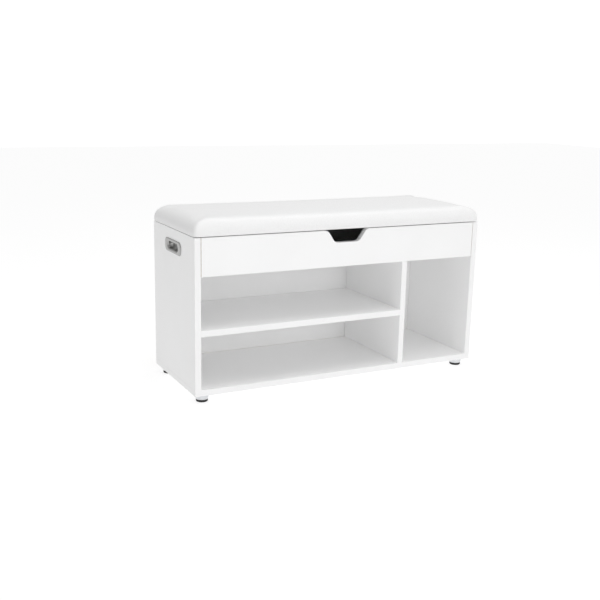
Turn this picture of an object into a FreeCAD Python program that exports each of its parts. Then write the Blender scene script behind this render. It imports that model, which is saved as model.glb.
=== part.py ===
"""Entryway bench: a white board cabinet on four levelling feet, with open shoe bays, a storage
compartment behind a fixed front board, and a padded seat that hinges up as the compartment's lid.

Frame: millimetres, +Z up, X along the width, the front faces -Y. The origin is on the floor,
under the middle of the bench.
"""

import FreeCAD, Part
import math
import os
import re

import Sketcher
from FreeCAD import Placement, Rotation, Vector

doc = FreeCAD.newDocument("EntrywayBench")

# ---------------------------------------------------------------- driving dimensions
SIZES = {
    "overall_width": 800,  # across the seat cover
    "overall_depth": 300,  # front of the seat to the back of the hinge knuckles
    "overall_height": 440,  # floor to the top of the seat's crown
    "hinge_room": 5,  # how far the knuckles stand behind the seat
    "seat_overhang": 2,  # seat past the cabinet on every side
    "seat_edge": 27,  # height of the seat's upright edge
    "seat_crown": 14,  # how far the padding rises from edge to middle
    "seat_corner": 14,  # radius of the seat's upright corners
    "seat_board_thick": 12,
    "cover_thick": 1,
    "cover_margin": 26,  # cover folded under the seat board
    "liner_thick": 0.5,
    "lid_gap": 2,  # shadow gap between cabinet and seat
    "board_thick": 15,
    "foot_height": 20,
    "foot_inset": 26,  # centre of a foot from the cabinet's outer faces
    "fascia_height": 91,
    "fascia_gap": 1,  # at each end of the fascia
    "notch_top": 110,
    "notch_bottom": 68,
    "notch_depth": 31,
    "notch_round": 16,
    "lower_bay": 129,  # clear height of the lower left bay
    "divider_place": 172.5,  # middle of the divider from the middle of the bench
    "divider_gap": 1,  # divider and shelf stop short of the back panel
    "back_thick": 3,
    "back_inset": 8,  # back panel in from the rear edges
    "groove_depth": 6,
    "groove_clear": 0.2,
    "handle_length": 112,
    "handle_width": 33,
    "handle_round": 13,  # flange corners, seen from the side
    "handle_proud": 1.8,
    "handle_drop": 42,  # centre of a handle below the cabinet's top
    "cup_length": 96,
    "cup_width": 25,
    "cup_round": 6,
    "screw_inset": 6,  # strap screw in from the end of the handle cup
    "cup_depth": 13,
    "recess_length": 70,
    "recess_width": 17,
    "recess_depth": 11.6,
    "handle_clear": 0.4,
    "strap_length": 118,
    "strap_width": 14,
    "strap_thick": 1.5,
    "strap_screw": 3,  # diameter
    "cup_top": 35.5,  # foot cup's diameter where it meets the board
    "cup_bottom": 29.5,
    "pad_diameter": 29,
    "pad_height": 6,
    "pad_neck": 4,  # height of the spigot that the cup turns on
    "stud_diameter": 8,
    "stud_reach": 12,  # stud inside the base board
    "insert_diameter": 12,
    "thread_clear": 0.08,
    "foot_clear": 0.3,
    "hinge_length": 60,
    "hinge_place": 270,  # middle of a hinge from the middle of the bench
    "leaf_thick": 1,
    "leaf_depth": 14,  # leaf in front of the cabinet's rear face
    "knuckle_diameter": 4.6,
    "pin_diameter": 2.4,
    "pin_clear": 0.05,
    "knuckle_gap": 0.3,
    "leaf_screw": 3,
    "lid_opening": 85,  # degrees
    "pivot_back": 60,  # stay pivot in front of the hinge axis, lid shut
    "pivot_drop": 12,
    "stop_forward": 130,  # stay stud in front of the hinge axis
    "stop_drop": 22,
    "stay_thick": 2,
    "stay_half": 8,  # half the width of a stay
    "stay_stud": 5,
    "stay_off": 4,  # stay in from the side panel's face
    "slot_clear": 0.3,
    "bracket_thick": 1.5,
    "dowel_diameter": 8,
    "dowel_length": 30,
    "dowel_sunk": 10,  # dowel in the panel's face
    "bolt_reach": 24,  # panel's face to the middle of a cam
    "cam_diameter": 15,
    "cam_depth": 12.5,
    "long_screw": 50,
    "hole_clear": 0.1,
    "bumper_diameter": 8,
}

sheet = doc.addObject("Spreadsheet::Sheet", "Sizes")
for row, (alias, amount) in enumerate(SIZES.items(), start=1):
    sheet.set(f"A{row}", alias)
    sheet.set(f"B{row}", str(amount))
    sheet.setAlias(f"B{row}", alias)
doc.recompute()

# Places that several pieces share, as expressions of the cells.
HALF = "(overall_width / 2 - seat_overhang)"
INNER = "(overall_width / 2 - seat_overhang - board_thick)"
FRONT = "(-overall_depth / 2 + seat_overhang)"
SEAT_FRONT = "(-overall_depth / 2)"
SEAT_REAR = "(overall_depth / 2 - hinge_room)"
REAR = "(overall_depth / 2 - hinge_room - seat_overhang)"
MID_Y = f"(({FRONT} + {REAR}) / 2)"
BASE = "foot_height"
BASE_TOP = "(foot_height + board_thick)"
SEAT_BASE = "(overall_height - seat_crown - seat_edge)"
TOP = f"({SEAT_BASE} - lid_gap)"
STORE = f"({TOP} - fascia_height)"
STORE_FLOOR = f"({STORE} + board_thick)"
STORE_BACK = f"({REAR} - board_thick)"
FASCIA_BACK = f"({FRONT} + board_thick)"
BACK_FACE = f"({REAR} - back_inset - back_thick)"
SHELF_BASE = f"({BASE_TOP} + lower_bay)"
SHELF_TOP = f"({SHELF_BASE} + board_thick)"
SHELF_REAR = f"({BACK_FACE} - divider_gap)"
DIVIDER_LEFT = "(divider_place - board_thick / 2)"
DIVIDER_RIGHT = "(divider_place + board_thick / 2)"
BOARD_BASE = f"({SEAT_BASE} + cover_thick)"
FOAM_BASE = f"({BOARD_BASE} + seat_board_thick)"
AXIS_Y = "(overall_depth / 2 - knuckle_diameter / 2)"
AXIS_Z = f"(({TOP} + {BOARD_BASE}) / 2)"
HANDLE_Z = f"({TOP} - handle_drop)"

sub_parts = []


def bound(text):
    """The expression with each alias pointed at the sheet."""
    return re.sub(r"[a-z_]{4,}", lambda w: "Sizes." + w[0] if w[0] in SIZES else w[0], text)


def amount(text):
    """An expression's value now."""
    return float(sheet.evalExpression(bound(text)))


def point(*texts):
    return Vector(*[amount(text) for text in texts])


def place(thing, x, y, z):
    """Tie a thing's position to the cells, leaving its rotation."""
    for name, text in (("x", x), ("y", y), ("z", z)):
        thing.setExpression(f".Placement.Base.{name}", bound(text))


def sub_part(label, thing):
    thing.Label = label
    sub_parts.append(thing)
    return thing


# ---------------------------------------------------------------- solids bound to the cells
def slab(name, x, y, z):
    """A box between pairs of expressions."""
    box = doc.addObject("Part::Box", name)
    for side, (low, high) in (("Length", x), ("Width", y), ("Height", z)):
        box.setExpression(side, bound(f"({high}) - ({low})"))
    place(box, x[0], y[0], z[0])
    return box


TURNS = {
    "+Z": Rotation(),
    "-Z": Rotation(Vector(1, 0, 0), 180),
    "+X": Rotation(Vector(0, 1, 0), 90),
    "-X": Rotation(Vector(0, 1, 0), -90),
    "+Y": Rotation(Vector(1, 0, 0), -90),
    "-Y": Rotation(Vector(1, 0, 0), 90),
}


def rod(name, start, way, diameter, length):
    """A round bar from a point, along an axis."""
    bar = doc.addObject("Part::Cylinder", name)
    bar.setExpression("Radius", bound(f"({diameter}) / 2"))
    bar.setExpression("Height", bound(length))
    bar.Placement.Rotation = TURNS[way]
    place(bar, *start)
    return bar


def taper(name, start, way, wide, narrow, length):
    """A cone frustum from a point, along an axis."""
    cone = doc.addObject("Part::Cone", name)
    cone.setExpression("Radius1", bound(f"({wide}) / 2"))
    cone.setExpression("Radius2", bound(f"({narrow}) / 2"))
    cone.setExpression("Height", bound(length))
    cone.Placement.Rotation = TURNS[way]
    place(cone, *start)
    return cone


def fused(name, pieces):
    joined = doc.addObject("Part::MultiFuse", name)
    joined.Shapes = pieces
    return joined


def cut(name, base, tools):
    """The base less every tool."""
    result = doc.addObject("Part::Cut", name)
    result.Base = base
    result.Tool = tools[0] if len(tools) == 1 else fused(name + "_tools", tools)
    return result


def common(name, pieces):
    shared = doc.addObject("Part::MultiCommon", name)
    shared.Shapes = pieces
    return shared


def rounded(name, box, axis, radius):
    """A box with its four edges along one axis rounded."""
    doc.recompute()
    rounding = doc.addObject("Part::Fillet", name)
    rounding.Base = box
    size = amount(radius)
    rounding.Edges = [
        (number, size, size)
        for number, edge in enumerate(box.Shape.Edges, start=1)
        if abs(edge.tangentAt(edge.FirstParameter).dot(axis)) > 0.99
    ]
    return rounding


def outline(body, name, role, corners):
    """A closed sketch of straight lines through corners given as pairs of expressions."""
    sketch = body.newObject("Sketcher::SketchObject", name)
    plane = [f for f in body.Origin.OriginFeatures if f.Role == role][0]
    sketch.AttachmentSupport = (plane, [""])
    sketch.MapMode = "FlatFace"
    spots = [Vector(amount(u), amount(v), 0) for u, v in corners]
    count = len(spots)
    for number in range(count):
        sketch.addGeometry(Part.LineSegment(spots[number], spots[(number + 1) % count]), False)
    for number in range(count):
        sketch.addConstraint(
            Sketcher.Constraint("Coincident", number, 2, (number + 1) % count, 1)
        )
    for number, (u, v) in enumerate(corners):
        for kind, text, axis in (("DistanceX", u, -2), ("DistanceY", v, -1)):
            if text == "0":
                sketch.addConstraint(Sketcher.Constraint("PointOnObject", number, 1, axis))
                continue
            at = sketch.addConstraint(
                Sketcher.Constraint(kind, -1, 1, number, 1, amount(text))
            )
            sketch.renameConstraint(at, f"{kind}{number}")
            sketch.setExpression(f"Constraints.{kind}{number}", bound(text))
    return sketch


def padded(name, role, corners, length):
    """A body: an outline given a thickness along its plane's normal."""
    body = doc.addObject("PartDesign::Body", name)
    pad = body.newObject("PartDesign::Pad", name + "_pad")
    pad.Profile = outline(body, name + "_outline", role, corners)
    pad.setExpression("Length", bound(length))
    body.Tip = pad
    return body


def turned(name, corners):
    """A body: an outline of (radius, height) pairs turned about Z."""
    body = doc.addObject("PartDesign::Body", name)
    sketch = outline(body, name + "_outline", "XZ_Plane", corners)
    turn = body.newObject("PartDesign::Revolution", name + "_turn")
    turn.Profile = sketch
    turn.ReferenceAxis = (sketch, ["V_Axis"])
    turn.Angle = 360
    body.Tip = turn
    return body


def group(label, pattern, placements):
    """One node of identical loose pieces: a copy of the pattern at each placement."""
    doc.recompute()
    copies = []
    for placement in placements:
        copy = pattern.Shape.copy()
        copy.Placement = placement.multiply(copy.Placement)
        copies.append(copy)
    loose = doc.addObject("Part::Feature", label)
    loose.Shape = Part.makeCompound(copies)
    loose.Placement = Placement()
    return sub_part(label, loose)


# ---------------------------------------------------------------- joints between boards
# Each board end meets a panel's face: where the face is, which way the board runs from it,
# the middle of the board's edge, and which way the cam's open face looks.
SHELF_MID = f"({SHELF_BASE} + board_thick / 2)"
FLOOR_MID = f"({STORE} + board_thick / 2)"
UPRIGHT_MID = f"({STORE} + fascia_height / 2)"
FASCIA_MID = f"({FRONT} + board_thick / 2)"
RAIL_MID = f"({REAR} - board_thick / 2)"
NEAR_Y = f"({FRONT} + 42)"
FAR_Y = f"({BACK_FACE} - 36)"
NEAR_DOWEL = f"({FRONT} + 84)"
FAR_DOWEL = f"({BACK_FACE} - 76)"
LEFT_FACE = f"(-{INNER})"
RIGHT_FACE = INNER

BOARD_ENDS = [
    ("middle_shelf", "side_panel_left", LEFT_FACE, 1, SHELF_MID, "-Z"),
    ("middle_shelf", "divider_panel", DIVIDER_LEFT, -1, SHELF_MID, "-Z"),
    ("compartment_floor", "side_panel_left", LEFT_FACE, 1, FLOOR_MID, "-Z"),
    ("compartment_floor", "side_panel_right", RIGHT_FACE, -1, FLOOR_MID, "-Z"),
]
UPRIGHT_ENDS = [
    ("front_fascia", "side_panel_left", LEFT_FACE, 1, FASCIA_MID, "+Y"),
    ("front_fascia", "side_panel_right", RIGHT_FACE, -1, FASCIA_MID, "+Y"),
    ("back_rail", "side_panel_left", LEFT_FACE, 1, RAIL_MID, "-Y"),
    ("back_rail", "side_panel_right", RIGHT_FACE, -1, RAIL_MID, "-Y"),
]

holes = {}  # board name: the drills that pass through it
cam_places = []
bolt_places = []
dowel_places = []
screw_places = []


def drill(board, start, way, diameter, length):
    name = f"{board}_hole_{len(holes.setdefault(board, []))}"
    holes[board].append(rod(name, start, way, diameter, length))


def cam_joint(board, panel, face, sense, y, z, looks):
    """A cam in the board's end holding a bolt that is screwed into the panel's face."""
    along = "+X" if sense > 0 else "-X"
    into = "-X" if sense > 0 else "+X"
    drill(panel, (face, y, z), into, "5 + 2 * hole_clear", "10.2")
    drill(board, (face, y, z), along, "6.8 + 2 * hole_clear", "bolt_reach + 4")
    middle = f"({face} + {sense} * bolt_reach)"
    half = "board_thick / 2"
    opening = {
        "-Z": (middle, y, f"{z} - {half}"),
        "+Y": (middle, f"{y} + {half}", z),
        "-Y": (middle, f"{y} - {half}", z),
    }[looks]
    inward = {"-Z": "+Z", "+Y": "-Y", "-Y": "+Y"}[looks]
    drill(board, opening, inward, "cam_diameter", "cam_depth")
    turn = TURNS[inward].multiply(Rotation(Vector(0, 0, 1), 0 if sense > 0 else 180))
    cam_places.append(Placement(point(*opening), turn))
    bolt_places.append(Placement(point(face, y, z), TURNS[along]))


def dowel_joint(board, panel, start, way, back):
    """A dowel sunk in the panel's face and the rest of it in the board."""
    wide = "dowel_diameter + 2 * hole_clear"
    drill(panel, start, back, wide, "dowel_sunk + hole_clear")
    drill(board, start, way, wide, "dowel_length - dowel_sunk + hole_clear")
    dowel_places.append(Placement(point(*start), TURNS[way]))


for board, panel, face, sense, z, looks in BOARD_ENDS:
    for y in (NEAR_Y, FAR_Y):
        cam_joint(board, panel, face, sense, y, z, looks)
    for y in (NEAR_DOWEL, FAR_DOWEL):
        way, back = ("+X", "-X") if sense > 0 else ("-X", "+X")
        dowel_joint(board, panel, (face, y, z), way, back)
for board, panel, face, sense, y, looks in UPRIGHT_ENDS:
    cam_joint(board, panel, face, sense, y, UPRIGHT_MID, looks)
    for rise in ("- 26", "+ 26"):
        way, back = ("+X", "-X") if sense > 0 else ("-X", "+X")
        dowel_joint(board, panel, (face, y, f"{UPRIGHT_MID} {rise}"), way, back)
for y in (NEAR_DOWEL, FAR_DOWEL):
    dowel_joint("divider_panel", "compartment_floor", ("divider_place", y, STORE), "-Z", "+Z")

UPRIGHTS = [
    ("side_panel_left", f"(-{HALF} + board_thick / 2)"),
    ("divider_panel", "divider_place"),
    ("side_panel_right", f"({HALF} - board_thick / 2)"),
]
for upright, x in UPRIGHTS:
    for y in (f"({FRONT} + 58)", FAR_Y):
        drill("bottom_panel", (x, y, BASE), "+Z", "7 + 2 * hole_clear", "board_thick")
        drill("bottom_panel", (x, y, BASE), "+Z", "10 + 2 * hole_clear", "3.6")
        drill(upright, (x, y, BASE_TOP), "+Z", "7 + 2 * hole_clear", "long_screw - board_thick + 1")
        screw_places.append(Placement(point(x, y, BASE), Rotation()))
    for y in (NEAR_DOWEL, FAR_DOWEL):
        dowel_joint(upright, "bottom_panel", (x, y, BASE_TOP), "+Z", "-Z")

# ---------------------------------------------------------------- feet: where they screw in
FEET = [
    ("front_left", f"(-{HALF} + foot_inset)", f"({FRONT} + foot_inset)"),
    ("front_right", f"({HALF} - foot_inset)", f"({FRONT} + foot_inset)"),
    ("back_left", f"(-{HALF} + foot_inset)", f"({REAR} - foot_inset)"),
    ("back_right", f"({HALF} - foot_inset)", f"({REAR} - foot_inset)"),
]
INSERT_LENGTH = "(board_thick - 2)"
for corner, x, y in FEET:
    drill("bottom_panel", (x, y, BASE), "+Z", "insert_diameter + 2 * hole_clear", INSERT_LENGTH)

# ---------------------------------------------------------------- hinge, stay and handle holes
HINGES = [("left", "(-hinge_place)"), ("right", "hinge_place")]
LEAF_FRONT = f"({REAR} - leaf_depth)"
LEAF_SCREW_Y = f"({REAR} - board_thick / 2)"
SCREW_STEPS = ("- hinge_length / 3", "+ 0", "+ hinge_length / 3")
for side, x in HINGES:
    for step in SCREW_STEPS:
        at = f"({x} {step})"
        drill("back_rail", (at, LEAF_SCREW_Y, TOP), "-Z", "leaf_screw", "13.2")
        drill("seat_board", (at, LEAF_SCREW_Y, BOARD_BASE), "+Z", "leaf_screw", "10.2")

STUD_Y = f"({AXIS_Y} - stop_forward)"
STUD_Z = f"({AXIS_Z} - stop_drop)"
PIVOT_Y = f"({AXIS_Y} - pivot_back)"
PIVOT_Z = f"({AXIS_Z} - pivot_drop)"
SIDES = [("left", -1), ("right", 1)]
for side, sign in SIDES:
    face = f"({sign} * {INNER})"
    outward = "-X" if sign < 0 else "+X"
    drill(f"side_panel_{side}", (face, STUD_Y, STUD_Z), outward, "stay_stud + 2 * hole_clear", "11.2")

HANDLE_SCREWS = "(cup_length / 2 - screw_inset)"
for side, sign in SIDES:
    hole = slab(
        f"handle_hole_{side}",
        (f"{sign} * {HALF} - 20", f"{sign} * {HALF} + 20"),
        (f"{MID_Y} - cup_length / 2 - handle_clear", f"{MID_Y} + cup_length / 2 + handle_clear"),
        (f"{HANDLE_Z} - cup_width / 2 - handle_clear", f"{HANDLE_Z} + cup_width / 2 + handle_clear"),
    )
    holes[f"side_panel_{side}"].append(
        rounded(f"handle_hole_{side}_round", hole, Vector(1, 0, 0), "cup_round + handle_clear")
    )

# ---------------------------------------------------------------- cabinet boards
GROOVE = (f"{BACK_FACE} - groove_clear", f"{BACK_FACE} + back_thick + groove_clear")
groove_left = slab(
    "groove_left",
    (f"-{INNER} - groove_depth", f"-{INNER} + 1"),
    GROOVE,
    (BASE_TOP, f"{STORE} + groove_depth"),
)
groove_right = slab(
    "groove_right",
    (f"{INNER} - 1", f"{INNER} + groove_depth"),
    GROOVE,
    (BASE_TOP, f"{STORE} + groove_depth"),
)
groove_bottom = slab(
    "groove_bottom",
    (f"-{INNER} - groove_depth", f"{INNER} + groove_depth"),
    GROOVE,
    (f"{BASE_TOP} - groove_depth", f"{BASE_TOP} + 1"),
)
groove_rail = slab(
    "groove_rail",
    (f"-{INNER} - 1", f"{INNER} + 1"),
    GROOVE,
    (f"{STORE} - 1", f"{STORE} + groove_depth"),
)


def drilled(label, board, extra=()):
    """The board less its holes, as a sub-part."""
    return sub_part(label, cut(label + "_cut", board, holes[label] + list(extra)))


panel_depth = (FRONT, REAR)
left_blank = slab("left_blank", (f"-{HALF}", f"-{INNER}"), panel_depth, (BASE_TOP, TOP))
right_blank = slab("right_blank", (INNER, HALF), panel_depth, (BASE_TOP, TOP))
bottom_blank = slab("bottom_blank", (f"-{HALF}", HALF), panel_depth, (BASE, BASE_TOP))
divider_blank = slab(
    "divider_blank", (DIVIDER_LEFT, DIVIDER_RIGHT), (FRONT, SHELF_REAR), (BASE_TOP, STORE)
)
shelf_blank = slab(
    "shelf_blank", (f"-{INNER}", DIVIDER_LEFT), (FRONT, SHELF_REAR), (SHELF_BASE, SHELF_TOP)
)
floor_blank = slab(
    "floor_blank", (f"-{INNER}", INNER), (FASCIA_BACK, STORE_BACK), (STORE, STORE_FLOOR)
)
rail_blank = slab("rail_blank", (f"-{INNER}", INNER), (STORE_BACK, REAR), (STORE, TOP))

drilled("side_panel_left", left_blank, [groove_left])
drilled("side_panel_right", right_blank, [groove_right])
drilled("bottom_panel", bottom_blank, [groove_bottom])
drilled("divider_panel", divider_blank)
drilled("middle_shelf", shelf_blank)
drilled("compartment_floor", floor_blank)
drilled("back_rail", rail_blank, [groove_rail])

TAB = "(groove_depth - groove_clear)"
sub_part(
    "back_panel",
    slab(
        "back_sheet",
        (f"-{INNER} - {TAB}", f"{INNER} + {TAB}"),
        (BACK_FACE, f"{BACK_FACE} + back_thick"),
        (f"{BASE_TOP} - {TAB}", f"{STORE} + {TAB}"),
    ),
)

# The fascia's outline runs round the finger notch in its top edge.
NOTCH_BASE = f"({TOP} - notch_depth)"
FASCIA_END = f"({INNER} - fascia_gap)"
fascia_body = padded(
    "fascia_body",
    "XZ_Plane",
    [
        (f"-{FASCIA_END}", STORE),
        (FASCIA_END, STORE),
        (FASCIA_END, TOP),
        ("notch_top / 2", TOP),
        ("notch_bottom / 2", NOTCH_BASE),
        ("-notch_bottom / 2", NOTCH_BASE),
        ("-notch_top / 2", TOP),
        (f"-{FASCIA_END}", TOP),
    ],
    "board_thick",
)
place(fascia_body, "0", FASCIA_BACK, "0")
doc.recompute()
notch_reach = amount("notch_top / 2") + 1
notch_corners = [
    f"Edge{number}"
    for number, edge in enumerate(fascia_body.Shape.Edges, start=1)
    if abs(edge.tangentAt(edge.FirstParameter).y) > 0.99
    and abs(edge.CenterOfMass.x) < notch_reach
]
fascia_pad = fascia_body.Tip
notch_fillet = fascia_body.newObject("PartDesign::Fillet", "notch_fillet")
notch_fillet.Base = (fascia_pad, notch_corners)
notch_fillet.setExpression("Radius", bound("notch_round"))
fascia_body.Tip = notch_fillet
drilled("front_fascia", fascia_body)

# ---------------------------------------------------------------- cabinet fasteners
long_screw_blank = turned(
    "long_screw_blank",
    [
        ("0", "0"),
        ("4.9", "0"),
        ("4.9", "1"),
        ("3.45", "3.4"),
        ("3.45", "board_thick"),
        ("2.6", "board_thick"),
        ("2.6", "long_screw - 3"),
        ("0", "long_screw"),
    ],
)
socket_key = doc.addObject("Part::Prism", "socket_key")
socket_key.Polygon = 6
socket_key.Circumradius = 2.3
socket_key.Height = 2.5
long_screw_solid = cut("long_screw_solid", long_screw_blank, [socket_key])
group("bottom_screws", long_screw_solid, screw_places)

bolt_solid = turned(
    "bolt_solid",
    [
        ("0", "-10"),
        ("2.5", "-10"),
        ("2.5", "0"),
        ("3.4", "0"),
        ("3.4", "bolt_reach - 9"),
        ("1.9", "bolt_reach - 9"),
        ("1.9", "bolt_reach"),
        ("3.2", "bolt_reach"),
        ("3.2", "bolt_reach + 3"),
        ("0", "bolt_reach + 3"),
    ],
)
group("cam_bolts", bolt_solid, bolt_places)

CAM_RIM = "(cam_diameter / 2 - hole_clear)"
cam_blank = rod("cam_blank", ("0", "0", "0"), "+Z", f"2 * {CAM_RIM}", "cam_depth - hole_clear")
cam_way_in = rod(
    "cam_way_in", ("-cam_diameter", "0", "board_thick / 2"), "+X", "7.2", "cam_diameter + 4"
)
cam_slots = [
    slab(f"cam_slot_{way}", (f"-{long}", long), (f"-{short}", short), ("-1", "1.6"))
    for way, long, short in (("x", "4.5", "0.6"), ("y", "0.6", "4.5"))
]
group("cam_housings", cut("cam_solid", cam_blank, [cam_way_in] + cam_slots), cam_places)

dowel_solid = turned(
    "dowel_solid",
    [
        ("0", "-dowel_sunk"),
        ("dowel_diameter / 2 - 1", "-dowel_sunk"),
        ("dowel_diameter / 2", "-dowel_sunk + 1"),
        ("dowel_diameter / 2", "dowel_length - dowel_sunk - 1"),
        ("dowel_diameter / 2 - 1", "dowel_length - dowel_sunk"),
        ("0", "dowel_length - dowel_sunk"),
    ],
)
group("wood_dowels", dowel_solid, dowel_places)

# ---------------------------------------------------------------- levelling feet
insert_ring = cut(
    "insert_ring",
    rod("insert_blank", ("0", "0", "0"), "+Z", "insert_diameter", INSERT_LENGTH),
    [rod("insert_bore", ("0", "0", "-1"), "+Z", "stud_diameter + 2 * thread_clear", "board_thick")],
)
group("foot_inserts", insert_ring, [Placement(point(x, y, BASE), Rotation()) for _, x, y in FEET])

PAD_NECK = "(cup_bottom / 2 - 4)"
CUP_TOP = "(foot_height - 0.2)"
for corner, x, y in FEET:
    # A black disc that stays still on the floor, with a spigot the cup turns on.
    pad = turned(
        f"pad_{corner}",
        [
            ("0", "0"),
            ("pad_diameter / 2 - 1", "0"),
            ("pad_diameter / 2", "1"),
            ("pad_diameter / 2", "pad_height"),
            (PAD_NECK, "pad_height"),
            (PAD_NECK, "pad_height + pad_neck"),
            ("0", "pad_height + pad_neck"),
        ],
    )
    # A pressed metal cup: a tapering wall under a flat crown that carries the stud.
    cup = turned(
        f"cup_{corner}",
        [
            ("stud_diameter / 2", f"{CUP_TOP} - 2"),
            ("cup_top / 2 - 2", f"{CUP_TOP} - 2"),
            ("cup_bottom / 2 - 2", "pad_height + foot_clear"),
            ("cup_bottom / 2", "pad_height + foot_clear"),
            ("cup_top / 2", f"{CUP_TOP} - 1"),
            ("cup_top / 2 - 1", CUP_TOP),
            ("stud_diameter / 2", CUP_TOP),
        ],
    )
    stud = turned(
        f"stud_{corner}",
        [
            ("0", "pad_height + pad_neck + foot_clear"),
            ("stud_diameter / 2 + 2", "pad_height + pad_neck + foot_clear"),
            ("stud_diameter / 2 + 2", f"{CUP_TOP} - 2"),
            ("stud_diameter / 2", f"{CUP_TOP} - 2"),
            ("stud_diameter / 2", f"{BASE} + stud_reach - 1"),
            ("stud_diameter / 2 - 1", f"{BASE} + stud_reach"),
            ("0", f"{BASE} + stud_reach"),
        ],
    )
    for piece, body in (("pad", pad), ("cup", cup), ("stud", stud)):
        place(body, x, y, "0")
        sub_part(f"foot_{corner}_{piece}", body)

# ---------------------------------------------------------------- flush handles
def outward_span(sign, inner, outer):
    """X limits measured outwards from a side panel's outer face, low one first."""
    ends = (f"{sign} * ({HALF} + ({inner}))", f"{sign} * ({HALF} + ({outer}))")
    return ends if sign > 0 else ends[::-1]


def handle_block(name, x, length, width, radius):
    """A block centred on the handle, with rounded corners seen from the side."""
    y = (f"{MID_Y} - {length} / 2", f"{MID_Y} + {length} / 2")
    z = (f"{HANDLE_Z} - {width} / 2", f"{HANDLE_Z} + {width} / 2")
    return rounded(name, slab(name + "_box", x, y, z), Vector(1, 0, 0), radius)


for side, sign in SIDES:
    skin = f"({sign} * {HALF})"
    flange = handle_block(
        f"flange_{side}",
        outward_span(sign, "0", "handle_proud"),
        "handle_length",
        "handle_width",
        "handle_round",
    )
    cup = handle_block(
        f"cup_{side}",
        outward_span(sign, "-cup_depth", "0.5"),
        "cup_length",
        "cup_width",
        "cup_round",
    )
    recess = handle_block(
        f"recess_{side}",
        outward_span(sign, "-recess_depth", "handle_proud + 1"),
        "recess_length",
        "recess_width",
        "recess_width / 2 - 0.5",
    )
    outward = "-X" if sign < 0 else "+X"
    screw_holes = [
        rod(
            f"pull_hole_{side}_{number}",
            (f"{skin} - {sign} * cup_depth", f"{MID_Y} {step} {HANDLE_SCREWS}", HANDLE_Z),
            outward,
            "strap_screw",
            "8",
        )
        for number, step in enumerate("-+")
    ]
    pull = cut(f"pull_{side}", fused(f"pull_body_{side}", [flange, cup]), [recess] + screw_holes)
    sub_part(f"handle_pull_{side}", pull)

    strap_at = f"({sign} * {INNER})"
    strap_x = (strap_at, f"{strap_at} + strap_thick")
    if sign > 0:
        strap_x = (f"{strap_at} - strap_thick", strap_at)
    strap = slab(
        f"strap_bar_{side}",
        strap_x,
        (f"{MID_Y} - strap_length / 2", f"{MID_Y} + strap_length / 2"),
        (f"{HANDLE_Z} - strap_width / 2", f"{HANDLE_Z} + strap_width / 2"),
    )
    strap_holes = [
        rod(
            f"strap_hole_{side}_{number}",
            (f"{strap_at} - {sign} * 5", f"{MID_Y} {step} {HANDLE_SCREWS}", HANDLE_Z),
            outward,
            "strap_screw + 2 * hole_clear",
            "10",
        )
        for number, step in enumerate("-+")
    ]
    sub_part(f"handle_strap_{side}", cut(f"strap_{side}", strap, strap_holes))

strap_screw_solid = turned(
    "strap_screw_solid",
    [
        ("0", "-8"),
        ("strap_screw / 2 - 0.05", "-8"),
        ("strap_screw / 2 - 0.05", "0"),
        ("3", "0"),
        ("2.4", "1.6"),
        ("0", "2"),
    ],
)
strap_screw_places = []
for side, sign in SIDES:
    for step in "-+":
        seat = point(
            f"{sign} * ({INNER} - strap_thick)", f"{MID_Y} {step} {HANDLE_SCREWS}", HANDLE_Z
        )
        strap_screw_places.append(Placement(seat, TURNS["+X" if sign < 0 else "-X"]))
group("handle_screws", strap_screw_solid, strap_screw_places)

# ---------------------------------------------------------------- hinges
LEAF_EDGE = f"({AXIS_Y} - knuckle_diameter / 2 - 0.4)"
KNUCKLES = 5
LEAVES = [
    ("cabinet", (TOP, f"{TOP} + leaf_thick"), (0, 2, 4)),
    ("lid", (f"{BOARD_BASE} - leaf_thick", BOARD_BASE), (1, 3)),
]


def hinge_leaf(name, x, leaf_z, knuckles, screw_way):
    """A flat leaf with its share of the knuckles, bored for the pin and countersunk."""
    pieces = [
        slab(
            name + "_plate",
            (f"{x} - hinge_length / 2", f"{x} + hinge_length / 2"),
            (LEAF_FRONT, LEAF_EDGE),
            leaf_z,
        )
    ]
    for number in knuckles:
        start = f"({x} - hinge_length / 2 + {number} * hinge_length / {KNUCKLES} + knuckle_gap / 2)"
        length = f"(hinge_length / {KNUCKLES} - knuckle_gap)"
        pieces.append(
            slab(
                f"{name}_bridge_{number}",
                (start, f"{start} + {length}"),
                (f"{LEAF_EDGE} - 1", f"{AXIS_Y} - pin_diameter / 2"),
                leaf_z,
            )
        )
        axle = (start, AXIS_Y, AXIS_Z)
        pieces.append(rod(f"{name}_knuckle_{number}", axle, "+X", "knuckle_diameter", length))
    tools = [
        rod(
            name + "_bore",
            (f"{x} - hinge_length", AXIS_Y, AXIS_Z),
            "+X",
            "pin_diameter + 2 * pin_clear",
            "2 * hinge_length",
        )
    ]
    start_z = leaf_z[1] if screw_way == "-Z" else leaf_z[0]
    for number, step in enumerate(SCREW_STEPS):
        tools.append(
            taper(
                f"{name}_sink_{number}",
                (f"{x} {step}", LEAF_SCREW_Y, start_z),
                screw_way,
                "2 * leaf_screw + 2 * hole_clear",
                "leaf_screw + 2 * hole_clear",
                "leaf_thick",
            )
        )
    return cut(name, fused(name + "_body", pieces), tools)


for owner, leaf_z, knuckles in LEAVES:
    screw_way = "-Z" if owner == "cabinet" else "+Z"
    for side, x in HINGES:
        leaf = hinge_leaf(f"leaf_{owner}_{side}", x, leaf_z, knuckles, screw_way)
        sub_part(f"hinge_{side}_{owner}_leaf", leaf)

pin_solid = rod("pin_solid", ("0", "0", "0"), "+X", "pin_diameter", "hinge_length - knuckle_gap")
group(
    "hinge_pins",
    pin_solid,
    [
        Placement(point(f"{x} - hinge_length / 2 + knuckle_gap / 2", AXIS_Y, AXIS_Z), Rotation())
        for _, x in HINGES
    ],
)


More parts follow.
